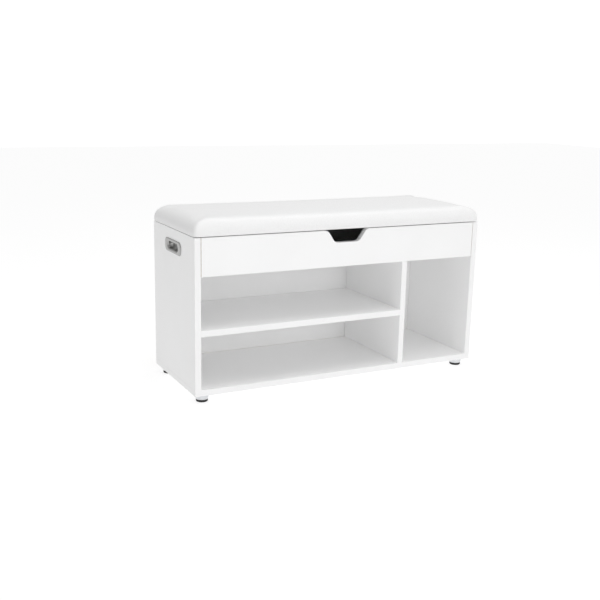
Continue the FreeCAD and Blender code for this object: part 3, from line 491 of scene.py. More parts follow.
def rounded_profile(corners, steps=4):
    """A lathe profile of (radius, height, rounding) corners with each corner rounded."""
    points = []
    for number, (radius, height, rounding) in enumerate(corners):
        here = Vector((radius, height))
        if not rounding or number in (0, len(corners) - 1):
            points.append(here)
            continue
        before = Vector(corners[number - 1][:2]) - here
        after = Vector(corners[number + 1][:2]) - here
        start = here + before.normalized() * min(rounding, before.length * 0.45)
        end = here + after.normalized() * min(rounding, after.length * 0.45)
        for step in range(steps + 1):
            t = step / steps
            points.append((1 - t) ** 2 * start + 2 * t * (1 - t) * here + t**2 * end)
    return points


def turned(mesh, corners, middle=(0, 0), steps=48):
    """A lathe-turned solid about an upright axis, from corners in millimetres above the floor."""
    shift = Vector((middle[0], middle[1], 0))
    profile = rounded_profile(corners)
    rings = [[p + shift for p in circle(r * MM, h * MM, steps)] for r, h in profile]
    skin(mesh, rings)


# ---------------------------------------------------------------- boards
EASE = 0.6 * MM  # rounding of a board's edges
SHORT_EDGE = 12 * MM  # edges of bores and grooves, which stay sharp
ON_FACE = 0.01 * MM
LAMINATE, BAND, CORE = range(3)


def board(node, cut_finish=CORE, bare_ends=False):
    """A board with eased, banded edges; what is drilled, grooved or left bare shows its core."""
    low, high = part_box(node)
    size = high - low
    thin = min(range(3), key=lambda axis: size[axis])
    across = [axis for axis in range(3) if axis != thin]
    end = across[0]
    mesh = merged_copy(node)
    ease(mesh, EASE, SHORT_EDGE)
    for face in mesh.faces:
        at = face.calc_center_median()
        from_face = min(at[thin] - low[thin], high[thin] - at[thin])
        from_edge = min(min(at[axis] - low[axis], high[axis] - at[axis]) for axis in across)
        bare = bare_ends and abs(face.normal[end]) > 0.9
        if from_face < ON_FACE:
            face.material_index = LAMINATE
        elif from_edge < EASE and not bare:
            face.material_index = BAND
        elif bare_ends and abs(at[end]) > abs(low[end]) - EASE:
            face.material_index = CORE
        else:
            face.material_index = cut_finish
    piece = piece_of(node + "_board", "cabinet", mesh, (MELAMINE, EDGE_BAND, CHIPBOARD))
    level_normals(piece)
    return stands_for(piece, "white_board", node)


def back_sheet():
    """The thin back: lacquered towards the bays, bare fibre behind."""
    mesh = merged_copy("back_panel")
    ease(mesh, EASE / 2, SHORT_EDGE)
    for face in mesh.faces:
        face.material_index = 1 if face.normal.y > 0.5 else 0
    piece = piece_of("back_panel_sheet", "cabinet", mesh, (HARDBOARD_FACE, HARDBOARD_BACK))
    level_normals(piece)
    stands_for(piece, "hardboard", "back_panel")


for board_node in (
    "side_panel_left",
    "side_panel_right",
    "bottom_panel",
    "divider_panel",
    "middle_shelf",
    "compartment_floor",
    "back_rail",
):
    board(board_node)
board("front_fascia", cut_finish=BAND, bare_ends=True)
back_sheet()


# ---------------------------------------------------------------- seat cushion
SEAT_LOW, SEAT_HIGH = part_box("seat_cover")
SEAT_MIDDLE = (SEAT_LOW + SEAT_HIGH) / 2
SEAT_HALF = (SEAT_HIGH - SEAT_LOW) / 2
BOARD_LOW, BOARD_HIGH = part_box("seat_board")
LINER_LOW, LINER_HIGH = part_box("seat_liner")
LINING_GAP = 0.4 * MM
# width of the cover that is folded under the board, up to the lining
MARGIN = SEAT_HALF.x - (LINER_HIGH.x - LINER_LOW.x) / 2 - LINING_GAP
SEAT_CORNER = 12 * MM
COVER = 1.0 * MM  # cover's own thickness round the board
FOLD = 0.7 * MM  # and under it
LEAF_STEP = 1.2 * MM  # how far the fold steps up out of a hinge leaf's way
OVER_BOARD = BOARD_HIGH.z + 0.2 * MM  # underside of the stuffing
INNER_RIM = 60 * MM  # how far in from the edge that underside becomes a plain grid
COLUMNS, ROWS = 132, 50
UPRIGHT_TOP = BOARD_HIGH.z + 12 * MM
END_ROLL = 44 * MM  # how far in from each end the pad reaches its full height
FRONT_ROLL = 17 * MM
SWELL = 0.5 * MM  # how much lower the pad starts than it ends


def rounded_spot(x, y, inset, height):
    """A spot of the seat's rectangle at an inset, moved in onto the seat's rounded corners."""
    radius = max(SEAT_CORNER - inset, 0)
    square = Vector((SEAT_HALF.x - inset - radius, SEAT_HALF.y - inset - radius))
    past = Vector((abs(x) - square.x, abs(y) - square.y))
    if past.x > 0 and past.y > 0 and radius > 0:
        past *= max(past.x, past.y) / past.length
        x = math.copysign(square.x + past.x, x)
        y = math.copysign(square.y + past.y, y)
    return Vector((SEAT_MIDDLE.x + x, SEAT_MIDDLE.y + y, height))


def rolled(depth, width):
    """A quarter round: 0 at the edge, 1 once depth reaches the width."""
    return math.sqrt(max(1 - (1 - min(depth / width, 1)) ** 2, 0))


def pad_height(x, y):
    """Height of the unswollen top, lowest at the corners."""
    ends = rolled(SEAT_HALF.x - abs(x), END_ROLL)
    fronts = rolled(SEAT_HALF.y - abs(y), FRONT_ROLL)
    crown = 1 - 0.03 * (y / SEAT_HALF.y) ** 2
    return UPRIGHT_TOP + (SEAT_HIGH.z - SWELL - UPRIGHT_TOP) * ends * fronts * crown


LEAVES = [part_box(f"hinge_{side}_lid_leaf") for side, _ in SIDES]
LEAF_REACH = SEAT_HIGH.y - LEAVES[0][0].y  # leaf's front edge in from the seat's rear


def at_hinge(spot):
    """Whether a spot of the folded cover is where a hinge leaf lies on the bare board."""
    return any(
        low.x - 2 * MM < spot.x < high.x + 2 * MM and spot.y > low.y - MM for low, high in LEAVES
    )


def fill_grid(mesh, grid):
    """Faces between the spots of a grid of columns and rows."""
    for column in range(COLUMNS):
        for row in range(ROWS):
            around = ((column, row), (column + 1, row), (column + 1, row + 1), (column, row + 1))
            mesh.faces.new([grid[place] for place in around])


def seat_blank():
    """The pad before it swells: a rolled top, upright edges, and a hollow that fits the board."""
    mesh = bmesh.new()
    grid = {}
    for column in range(COLUMNS + 1):
        for row in range(ROWS + 1):
            x = SEAT_HALF.x * (2 * column / COLUMNS - 1)
            y = SEAT_HALF.y * (2 * row / ROWS - 1)
            inset = min(SEAT_HALF.x - abs(x), SEAT_HALF.y - abs(y))
            grid[column, row] = mesh.verts.new(rounded_spot(x, y, inset, pad_height(x, y)))
    fill_grid(mesh, grid)
    border = [(column, 0) for column in range(COLUMNS)]
    border += [(COLUMNS, row) for row in range(ROWS)]
    border += [(column, ROWS) for column in range(COLUMNS, 0, -1)]
    border += [(0, row) for row in range(ROWS, 0, -1)]
    last = [grid[place] for place in border]
    for inset, height in (
        (0.0, BOARD_HIGH.z),
        (0.0, (BOARD_HIGH.z + SEAT_LOW.z) / 2),
        (0.0, SEAT_LOW.z + 1.2 * MM),
        (0.35 * MM, SEAT_LOW.z + 0.35 * MM),
        (1.2 * MM, SEAT_LOW.z),
        (LEAF_REACH + 0.4 * MM, SEAT_LOW.z),
        (LEAF_REACH + 1.6 * MM, SEAT_LOW.z),
        (MARGIN - 0.3 * MM, SEAT_LOW.z),
        (MARGIN, SEAT_LOW.z + FOLD / 2),
        (MARGIN - 0.3 * MM, SEAT_LOW.z + FOLD),
        (COVER, SEAT_LOW.z + FOLD),
        (COVER, OVER_BOARD),
        (INNER_RIM, OVER_BOARD),
    ):
        ring = []
        for column, row in border:
            x = (SEAT_HALF.x - inset) * (2 * column / COLUMNS - 1)
            y = (SEAT_HALF.y - inset) * (2 * row / ROWS - 1)
            spot = rounded_spot(x, y, inset, height)
            if height < BOARD_LOW.z + MM and at_hinge(spot):
                spot.z = max(spot.z, SEAT_LOW.z) + LEAF_STEP
            ring.append(mesh.verts.new(spot))
        for number in range(len(ring)):
            before = number - 1
            mesh.faces.new((last[before], last[number], ring[number], ring[before]))
        last = ring
    under = dict(zip(border, last))
    inner = SEAT_HALF - Vector((INNER_RIM, INNER_RIM, 0))
    for column in range(1, COLUMNS):
        for row in range(1, ROWS):
            x = inner.x * (2 * column / COLUMNS - 1)
            y = inner.y * (2 * row / ROWS - 1)
            spot = (SEAT_MIDDLE.x + x, SEAT_MIDDLE.y + y, OVER_BOARD)
            under[column, row] = mesh.verts.new(spot)
    fill_grid(mesh, under)
    return mesh


def swollen(pad, cap):
    """Swells a closed pad as stuffed cloth tacked to its board; no point moves by more than cap."""
    rest = [vertex.co.copy() for vertex in pad.data.vertices]
    tacks = pad.vertex_groups.new(name="tacked")
    tacks.add([n for n, spot in enumerate(rest) if spot.z < BOARD_HIGH.z + MM], 1.0, "REPLACE")
    cloth = pad.modifiers.new("cloth", "CLOTH")
    cloth.settings.vertex_group_mass = "tacked"
    cloth.settings.quality = 5
    cloth.settings.bending_stiffness = 2.0
    cloth.settings.use_pressure = True
    cloth.settings.uniform_pressure_force = 4
    cloth.settings.effector_weights.gravity = 0
    cloth.collision_settings.use_collision = False
    for step in range(1, 21):
        scene.frame_set(step)
    filled = bpy.data.meshes.new_from_object(
        pad.evaluated_get(bpy.context.evaluated_depsgraph_get())
    )
    pad.modifiers.clear()
    pad.vertex_groups.clear()
    scene.frame_set(1)
    for vertex, old, new in zip(pad.data.vertices, rest, filled.vertices):
        step = new.co - old
        vertex.co = old + step * min(1, cap / max(step.length, 1e-9))


def settle_crown(pad):
    """Evens the swollen cover and presses its crown softly down to the seat's height."""
    mesh = bmesh.new()
    mesh.from_mesh(pad.data)
    for _ in range(4):
        free = [v for v in mesh.verts if v.co.z > BOARD_HIGH.z + 3 * MM]
        bmesh.ops.smooth_vert(
            mesh, verts=free, factor=0.5, use_axis_x=True, use_axis_y=True, use_axis_z=True
        )
    give = 3 * MM
    start = SEAT_HIGH.z - give
    for vertex in mesh.verts:
        if vertex.co.z > start:
            vertex.co.z = start + give * (1 - math.exp((start - vertex.co.z) / give))
    mesh.to_mesh(pad.data)
    mesh.free()


def seat_cushion():
    """Foam and cover as one pad, drawn down over the board's edges and folded under it."""
    pad = piece_of("seat_cushion", "lid", seat_blank(), (FAUX_LEATHER,), soften=70)
    swollen(pad, 4 * MM)
    settle_crown(pad)
    fine = pad.modifiers.new("smooth_cover", "SUBSURF")
    fine.levels = 1
    fine.render_levels = 1
    stands_for(pad, "faux_leather", "seat_cover", "seat_foam")


seat_cushion()


def seat_lining():
    """Black lining stapled under the seat board, slack by a hair between its fixings."""
    mesh = bmesh.new()
    length = LINER_HIGH.x - LINER_LOW.x
    width = LINER_HIGH.y - LINER_LOW.y
    columns, rows = 120, 40
    grid = []
    for row in range(rows + 1):
        for column in range(columns + 1):
            x = LINER_LOW.x + length * column / columns
            y = LINER_LOW.y + width * row / rows
            sag = 0.12 * MM * noise.noise(Vector((x, y, 0)) / (60 * MM))
            grid.append(mesh.verts.new((x, y, LINER_HIGH.z - 0.25 * MM + sag)))
    for row in range(rows):
        for column in range(columns):
            corner = row * (columns + 1) + column
            around = (corner, corner + columns + 1, corner + columns + 2, corner + 1)
            mesh.faces.new([grid[number] for number in around])
    lining = piece_of("seat_lining", "lid", mesh, (LINING,))
    thick = lining.modifiers.new("cloth_thickness", "SOLIDIFY")
    thick.thickness = 0.2 * MM
    stands_for(lining, "lining", "seat_liner")


seat_lining()
clothe("seat_board", CHIPBOARD)


# ---------------------------------------------------------------- flush handles
CUP_INSETS = (8 * MM, 4 * MM)  # in from the flange's ends and from its long sides
CUP_ROUND = 6 * MM
FLANGE_ROUND = 13 * MM
RECESS_INSETS = (21 * MM, 8 * MM)
RECESS_ROUND = 8 * MM
CUP_FLOOR = 1.4 * MM  # thickness of the metal behind the recess
RECESS_TAPER = 6.5 * MM  # how much narrower the recess gets towards its floor


def flush_handle(side, sign):
    """A die-cast pull let into the side panel: a soft-edged flange round a deep rounded recess."""
    node = f"handle_pull_{side}"
    low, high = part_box(node)
    middle = (low + high) / 2
    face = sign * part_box("side_panel_right")[1].x
    half_length, half_width = (high.y - low.y) / 2, (high.z - low.z) / 2
    proud = max(abs(low.x), abs(high.x)) - abs(face)
    depth = abs(face) - min(abs(low.x), abs(high.x))
    cup = (half_length - CUP_INSETS[0], half_width - CUP_INSETS[1], CUP_ROUND)
    flange = (half_length, half_width, FLANGE_ROUND)
    recess = (half_length - RECESS_INSETS[0], half_width - RECESS_INSETS[1], RECESS_ROUND)

    def ring(shape, change, out):
        """The shape's outline, widened by a change and moved out from the panel's face."""
        outline = soft_rectangle(shape[0] + change, shape[1] + change, shape[2] + change, steps=8)
        return [Vector((face + sign * out, middle.y + u * sign, middle.z + v)) for u, v in outline]

    rings = [
        ring(cup, -3 * MM, -depth),
        ring(cup, 0, -depth),
        ring(cup, 0, 0),
        ring(flange, -0.3 * MM, 0),
        ring(flange, 0, 0.4 * MM),
        ring(flange, -0.3 * MM, proud - 0.6 * MM),
        ring(flange, -1.0 * MM, proud - 0.15 * MM),
        ring(flange, -2.0 * MM, proud),
        ring(recess, 3.2 * MM, proud - 0.1 * MM),
        ring(recess, 1.8 * MM, proud - 0.5 * MM),
        ring(recess, 0.7 * MM, proud - 1.4 * MM),
    ]
    trough = depth - CUP_FLOOR
    mouth = 0.8 * MM
    steps = 8
    for step in range(steps + 1):
        angle = math.pi / 2 * step / steps
        inset = RECESS_TAPER * (1 - math.cos(angle))
        rings.append(ring(recess, -inset, -mouth - (trough - mouth) * math.sin(angle)))
    mesh = bmesh.new()
    skin(mesh, rings)
    pull = piece_of(f"handle_pull_{side}_cast", "cabinet", mesh, (NICKEL,), soften=60)
    stands_for(pull, "satin_nickel", node)


for handle_side, handle_sign in SIDES:
    flush_handle(handle_side, handle_sign)


# ---------------------------------------------------------------- levelling feet
# lengths in millimetres
PAD_TOP = 6.0
SPIGOT_GAP = 7  # spigot's radius is this much less than the cup's
CUP_TAPER = 3.0
CUP_WALL = 1.6
CUP_BORE = 4.2
THREAD_PITCH = 1.25
THREAD_DEPTH = 0.55


def foot_pad(corner):
    """The moulded disc on the floor, with the spigot that the cup turns on."""
    low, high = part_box(f"foot_{corner}_pad")
    middle = (low + high) / 2
    radius = (high.x - low.x) / 2 / MM
    top = high.z / MM
    cup_low, cup_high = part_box(f"foot_{corner}_cup")
    spigot = (cup_high.x - cup_low.x) / 2 / MM - SPIGOT_GAP
    mesh = bmesh.new()
    turned(
        mesh,
        [
            (radius - 6, 0, 0),
            (radius - 1.2, 0, 0.6),
            (radius, 1.2, 0.8),
            (radius, PAD_TOP, 0.6),
            (spigot, PAD_TOP, 0.4),
            (spigot, top, 0.4),
            (2, top, 0),
        ],
        middle,
    )
    pad = piece_of(f"foot_{corner}_pad_moulded", f"foot_{corner}_base", mesh, (BLACK_PLASTIC,))
    stands_for(pad, "black_foot", f"foot_{corner}_pad")


def foot_cup(corner):
    """The pressed cup: a taper with a rolled rim below and a rounded shoulder under the board."""
    low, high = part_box(f"foot_{corner}_cup")
    middle = (low + high) / 2
    top_radius = (high.x - low.x) / 2 / MM
    base, top = low.z / MM, high.z / MM
    base_radius = top_radius - CUP_TAPER
    mesh = bmesh.new()
    turned(
        mesh,
        [
            (CUP_BORE, top - CUP_WALL, 0),
            (top_radius - CUP_WALL - 0.6, top - CUP_WALL, 0.8),
            (base_radius - CUP_WALL, base + 1, 0.5),
            (base_radius - CUP_WALL, base, 0.4),
            (base_radius, base, 0.5),
            (base_radius + 0.45, base + 1.6, 0.6),
            (top_radius, top - 1.4, 1.0),
            (top_radius - 1, top, 0.5),
            (CUP_BORE, top, 0),
        ],
        middle,
        steps=64,
    )
    cup = piece_of(f"foot_{corner}_cup_pressed", f"foot_{corner}_screw", mesh, (CHROME,), soften=60)
    stands_for(cup, "chromed_cup", f"foot_{corner}_cup")


def foot_stud(corner):
    """The threaded stud: a plain collar inside the cup and a rolled thread above it."""
    low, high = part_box(f"foot_{corner}_stud")
    middle = (low + high) / 2
    collar = (high.x - low.x) / 2
    radius = collar - 2 * MM
    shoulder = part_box(f"foot_{corner}_cup")[1].z - 2 * MM
    shift = Vector((middle.x, middle.y, 0))
    steps = 32
    rows = 110

    def thread_ring(height):
        """A ring whose radius follows the thread's helix, fading out at both ends."""
        fade = min(1, (height - shoulder) / (2 * MM), (high.z - height) / (1 * MM))
        ring = []
        for step in range(steps):
            turn = (height / (THREAD_PITCH * MM) - step / steps) % 1
            cut = THREAD_DEPTH * MM * abs(2 * turn - 1) * max(fade, 0)
            angle = 2 * math.pi * step / steps
            reach = radius - cut
            spot = (reach * math.cos(angle), reach * math.sin(angle), height)
            ring.append(Vector(spot) + shift)
        return ring

    rings = [[p + shift for p in circle(collar - 0.4 * MM, low.z, steps)]]
    rings.append([p + shift for p in circle(collar, low.z + 0.4 * MM, steps)])
    rings.append([p + shift for p in circle(collar, shoulder, steps)])
    for row in range(rows + 1):
        rings.append(thread_ring(shoulder + (high.z - 0.6 * MM - shoulder) * row / rows))
    rings.append([p + shift for p in circle(radius - 1 * MM, high.z, steps)])
    mesh = bmesh.new()
    skin(mesh, rings)
    stud = piece_of(f"foot_{corner}_stud_threaded", f"foot_{corner}_screw", mesh, (ZINC,))
    stands_for(stud, "zinc_plated", f"foot_{corner}_stud")


for foot_corner in CORNERS:
    foot_pad(foot_corner)
    foot_cup(foot_corner)
    foot_stud(foot_corner)
clothe("foot_inserts", ZINC)


# ---------------------------------------------------------------- steel fittings
def pressed_fitting(node, body, width, longest_kept=3 * MM):
    """A zinc-plated stamping with its cut edges broken."""
    mesh = merged_copy(node)
    ease(mesh, width, longest_kept)
    piece = piece_of(node + "_finished", body, mesh, (ZINC,))
    level_normals(piece)
    stands_for(piece, "zinc_plated", node)


for fitting_side, _ in SIDES:
    pressed_fitting(f"hinge_{fitting_side}_cabinet_leaf", "cabinet", 0.15 * MM)
    pressed_fitting(f"hinge_{fitting_side}_lid_leaf", "lid", 0.15 * MM)
    pressed_fitting(f"stay_{fitting_side}", f"stay_{fitting_side}", 0.25 * MM, longest_kept=0)
    pressed_fitting(f"stay_bracket_{fitting_side}", "lid", 0.3 * MM)
    pressed_fitting(f"handle_strap_{fitting_side}", "cabinet", 0.3 * MM)
for plain_node, plain_finish, plain_slot in (
    ("hinge_pins", ZINC, "zinc_plated"),
    ("stay_rivets", ZINC, "zinc_plated"),
    ("stay_studs", ZINC, "zinc_plated"),
    ("stay_spacers", NYLON, "nylon"),
    ("cam_bolts", ZINC, "zinc_plated"),
    ("wood_dowels", BEECH, "beech"),
):
    clothe(plain_node, plain_finish)


# ---------------------------------------------------------------- screws, cams and staples
def cross_outline(reach, half):
    """Corners of a cross-shaped recess."""
    arms = ((1, 0), (0, 1), (-1, 0), (0, -1))
    points = []
    for u, v in arms:
        points += [
            (reach * u + half * v, reach * v - half * u),
            (reach * u - half * v, reach * v + half * u),
            (half * u - half * v, half * v + half * u),
        ]
    return points


def hexagon(reach):
    """Corners of a six-sided socket."""
    turns = [math.pi / 3 * n for n in range(6)]
    return [(reach * math.cos(turn), reach * math.sin(turn)) for turn in turns]


def driven_head(name, corners, recess, depth, tip=0):
    """A fastener, head up at Z 0 with a recess; its (radius, drop) corners go down the shank."""
    mesh = bmesh.new()
    sides = 24
    profile = [(radius * MM, -drop * MM) for radius, drop in corners]
    rows = [[mesh.verts.new(p) for p in circle(radius, height, sides)] for radius, height in profile]
    for first, second in zip(rows, rows[1:]):
        for number in range(sides):
            after = (number + 1) % sides
            mesh.faces.new((first[number], first[after], second[after], second[number]))
    point = mesh.verts.new((0, 0, profile[-1][1] - tip * MM))
    for number in range(sides):
        mesh.faces.new((rows[-1][number], rows[-1][(number + 1) % sides], point))
    rim = [mesh.verts.new((x * MM, y * MM, 0)) for x, y in recess]
    taper = 0.7 * MM  # the recess narrows downwards
    floor = [mesh.verts.new((x * taper, y * taper, -depth * MM)) for x, y in recess]
    count = len(recess)
    edges = [mesh.edges.new((rim[n], rim[(n + 1) % count])) for n in range(count)]
    edges += [mesh.edges.get((rows[0][n], rows[0][(n + 1) % sides])) for n in range(sides)]
    bmesh.ops.triangle_fill(mesh, edges=edges, use_beauty=True)
    for number in range(count):
        after = (number + 1) % count
        mesh.faces.new((rim[number], rim[after], floor[after], floor[number]))
    mesh.faces.new(floor)
    return template(name, mesh)


def template(name, mesh):
    """A loose object that a Geometry Nodes tree copies, and that is removed afterwards."""
    bmesh.ops.recalc_face_normals(mesh, faces=mesh.faces)
    data = bpy.data.meshes.new(name)
    mesh.to_mesh(data)
    mesh.free()
    data.shade_smooth()
    data.set_sharp_from_angle(angle=math.radians(35))
    return bpy.data.objects.new(name, data)


def bent_staple():
    """A wire staple: a flat crown with two rounded shoulders, and short legs going in."""
    crown, wire, leg = 5.0, 0.35, 2.0
    path = [(-crown, -leg), (-crown, -0.5), (-crown + 0.15, -0.12), (-crown + 0.5, 0)]
    path += [(-x, z) for x, z in reversed(path)]
    mesh = bmesh.new()
    rings = []
    for number, (x, z) in enumerate(path):
        before = Vector(path[max(number - 1, 0)])
        after = Vector(path[min(number + 1, len(path) - 1)])
        along = (after - before).normalized()
        out = Vector((-along.y, along.x))
        middle = Vector((x, z)) - out * wire * 0.5
        ring = []
        for side, lift in ((-1, -0.5), (1, -0.5), (1, 0.5), (-1, 0.5)):
            spot = middle + out * wire * lift * 1.4
            ring.append(Vector((spot.x * MM, side * wire * MM, spot.y * MM)))
        rings.append(ring)
    skin(mesh, rings)
    return template("staple", mesh)


def copying_tree():
    """A tree that sets a copy of one fastener on each point, looking the point's way."""
    tree = bpy.data.node_groups.new("set_fasteners", "GeometryNodeTree")
    face = tree.interface
    face.new_socket("Geometry", in_out="INPUT", socket_type="NodeSocketGeometry")
    face.new_socket("Fastener", in_out="INPUT", socket_type="NodeSocketObject")
    face.new_socket("Loose turn", in_out="INPUT", socket_type="NodeSocketFloat")
    face.new_socket("Seed", in_out="INPUT", socket_type="NodeSocketInt")
    face.new_socket("Finish", in_out="INPUT", socket_type="NodeSocketMaterial")
    face.new_socket("Geometry", in_out="OUTPUT", socket_type="NodeSocketGeometry")
    start = add(tree, "NodeGroupInput").outputs
    way = add(tree, "GeometryNodeInputNamedAttribute", {"Name": "way"}, data_type="FLOAT_VECTOR")
    turn = add(tree, "GeometryNodeInputNamedAttribute", {"Name": "turn"}, data_type="FLOAT")
    facing = add(
        tree, "FunctionNodeAlignRotationToVector", {"Vector": way.outputs["Attribute"]}, axis="Z"
    )
    least = add(tree, "ShaderNodeMath", {0: start["Loose turn"], 1: -1.0}, operation="MULTIPLY")
    loose = add(
        tree,
        "FunctionNodeRandomValue",
        {"Min_001": least.outputs[0], "Max_001": start["Loose turn"], "Seed": start["Seed"]},
        data_type="FLOAT",
    )
    whole_turn = add(tree, "ShaderNodeMath", {0: turn.outputs["Attribute"], 1: loose.outputs[1]})
    spin = add(
        tree,
        "FunctionNodeAxisAngleToRotation",
        {"Axis": (0.0, 0.0, 1.0), "Angle": whole_turn.outputs[0]},
    )
    set_way = add(
        tree,
        "FunctionNodeRotateRotation",
        {"Rotation": facing.outputs[0], "Rotate By": spin.outputs[0]},
        rotation_space="LOCAL",
    )
    shape = add(tree, "GeometryNodeObjectInfo", {"Object": start["Fastener"]})
    copies = add(
        tree,
        "GeometryNodeInstanceOnPoints",
        {
            "Points": start["Geometry"],
            "Instance": shape.outputs["Geometry"],
            "Rotation": set_way.outputs[0],
        },
    )
    real = add(tree, "GeometryNodeRealizeInstances", {"Geometry": copies.outputs[0]})
    coated = add(
        tree,
        "GeometryNodeSetMaterial",
        {"Geometry": real.outputs[0], "Material": start["Finish"]},
    )
    add(tree, "NodeGroupOutput", {"Geometry": coated.outputs[0]})
    return tree


SET_FASTENERS = copying_tree()


def fasteners(name, node, body, slot, shape, finish, places, loose_turn=math.pi, seed=7):
    """One piece of identical fasteners, a copy of the shape at each (point, way, turn)."""
    points = bpy.data.meshes.new(name)
    points.from_pydata([tuple(point) for point, _, _ in places], [], [])
    points.attributes.new("way", "FLOAT_VECTOR", "POINT")
    points.attributes.new("turn", "FLOAT", "POINT")
    for number, (_, way, turn) in enumerate(places):
        points.attributes["way"].data[number].vector = way
        points.attributes["turn"].data[number].value = turn
    piece = bpy.data.objects.new(name, points)
    scene.collection.objects.link(piece)
    scene.collection.objects.link(shape)
    setter = piece.modifiers.new("set_fasteners", "NODES")
    setter.node_group = SET_FASTENERS
    inlets = {
        item.name: item.identifier
        for item in SET_FASTENERS.interface.items_tree
        if item.in_out == "INPUT"
    }
    for key, value in (
        ("Fastener", shape),
        ("Loose turn", loose_turn),
        ("Seed", seed),
        ("Finish", finish),
    ):
        setter[inlets[key]] = value
    evaluated = piece.evaluated_get(bpy.context.evaluated_depsgraph_get())
    solid = bpy.data.meshes.new_from_object(evaluated)
    piece.modifiers.clear()
    piece.data = solid
    bpy.data.objects.remove(shape)
    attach(piece, body)
    stands_for(piece, slot, node)


def head_places(node, way):
    """The middle of each solid's end that looks a way, with that way."""
    look = Vector(way)
    places = []
    for low, high in solids(node):
        middle = (low + high) / 2
        reach = Vector((high - low)[a] / 2 * look[a] for a in range(3))
        places.append((middle + reach, look, 0.0))
    return places


def strap_screw_places():
    """Each handle screw's head, on its strap's inner face and looking into the bench."""
    places = []
    for low, high in solids("handle_screws"):
        middle = (low + high) / 2
        inner, look = (high.x, 1) if middle.x < 0 else (low.x, -1)
        places.append((Vector((inner, middle.y, middle.z)), Vector((look, 0, 0)), 0.0))
    return places


def screws(name, node, body, shape, places):
    """One piece of zinc-plated screws."""
    fasteners(name, node, body, "zinc_plated", shape, ZINC, places)


# (radius, drop) corners of heads and shanks in millimetres
COUNTERSUNK = [(2.95, 0), (1.45, 1.1)]
PAN_HEAD = [(1.6, 0), (2.3, 0.35), (2.75, 1.0), (2.8, 1.6), (1.45, 1.6), (1.45, 9.5)]
STRAP_HEAD = [(1.7, 0), (2.4, 0.4), (2.9, 1.2), (3.0, 2.0), (1.45, 2.0), (1.45, 9.9)]
SOCKET_HEAD = [(4.7, 0), (4.9, 0.3), (4.9, 1), (3.4, 3.4), (2.6, 14), (2.6, 47)]
CAM_DRUM = [(6.9, 0), (7.35, 0.4), (7.35, 12.2)]
CROSS = cross_outline(1.7, 0.45)

screws(
    "hinge_screws_in_rail",
    "hinge_screws_cabinet",
    "cabinet",
    driven_head("rail_screw", COUNTERSUNK + [(1.45, 11.5)], CROSS, 0.9, tip=2.4),
    head_places("hinge_screws_cabinet", (0, 0, 1)),
)
screws(
    "hinge_screws_in_lid",
    "hinge_screws_lid",
    "lid",
    driven_head("lid_screw", COUNTERSUNK + [(1.45, 8.5)], CROSS, 0.9, tip=2.4),
    head_places("hinge_screws_lid", (0, 0, -1)),
)
screws(
    "stay_screws_in_lid",
    "stay_screws",
    "lid",
    driven_head("stay_screw", PAN_HEAD, cross_outline(1.35, 0.35), 0.8, tip=2),
    head_places("stay_screws", (0, 0, -1)),
)
screws(
    "handle_screws_in_straps",
    "handle_screws",
    "cabinet",
    driven_head("strap_screw", STRAP_HEAD, cross_outline(1.4, 0.38), 0.9),
    strap_screw_places(),
)
screws(
    "bottom_screws_driven",
    "bottom_screws",
    "cabinet",
    driven_head("long_screw", SOCKET_HEAD, hexagon(2.3), 2.5, tip=3),
    head_places("bottom_screws", (0, 0, -1)),
)


def cam_places():
    """Each cam's open face: down under the shelves, and inwards on the upright boards."""
    places = []
    for low, high in solids("cam_housings"):
        size = high - low
        middle = (low + high) / 2
        if size.z < size.y - 1 * MM:
            places.append((Vector((middle.x, middle.y, low.z)), Vector((0, 0, -1)), 0.0))
        elif middle.y < 0:
            places.append((Vector((middle.x, high.y, middle.z)), Vector((0, 1, 0)), 0.0))
        else:
            places.append((Vector((middle.x, low.y, middle.z)), Vector((0, -1, 0)), 0.0))
    return places


fasteners(
    "cams_turned_home",
    "cam_housings",
    "cabinet",
    "zinc",
    driven_head("cam", CAM_DRUM, cross_outline(4.4, 0.75), 1.6),
    CAST_ZINC,
    cam_places(),
    loose_turn=0.25,
    seed=3,
)


def staple_places():
    """Each staple's crown, looking down, along the edge that it holds."""
    places = []
    for low, high in solids("seat_staples"):
        size = high - low
        middle = (low + high) / 2
        quarter = math.pi / 2 if size.y > size.x else 0.0
        places.append((Vector((middle.x, middle.y, low.z)), Vector((0, 0, -1)), quarter))
    return places


fasteners(
    "seat_staples_driven",
    "seat_staples",
    "lid",
    "zinc_plated",
    bent_staple(),
    ZINC,
    staple_places(),
    loose_turn=math.radians(7),
    seed=11,
)


# ---------------------------------------------------------------- lid bumpers
def bumpers():
    """Clear drops on the side panels' top edges that the seat lands on."""
    mesh = bmesh.new()
    for low, high in solids("lid_bumpers"):
        radius = (high.x - low.x) / 2 / MM
        base, top = low.z / MM, high.z / MM
        middle = (low + high) / 2
        turned(
            mesh,
            [
                (radius - 2, base, 0),
                (radius, base, 0.1),
                (radius, base + 0.6, 0.5),
                (radius - 1.6, top, 1),
                (0.4, top, 0),
            ],
            middle,
            steps=32,
        )
    drops = piece_of("lid_bumper_drops", "cabinet", mesh, (CLEAR_RUBBER,), soften=60)
    stands_for(drops, "clear_rubber", "lid_bumpers")


bumpers()


# ---------------------------------------------------------------- studio
FLOOR_GLOW = 0.79  # the paper is lit from below, so that it washes out to white
DARK_FLAGS = ((0.79, -0.61, 0.0), (-0.95, 0.3, 0.0))  # directions in the room's air


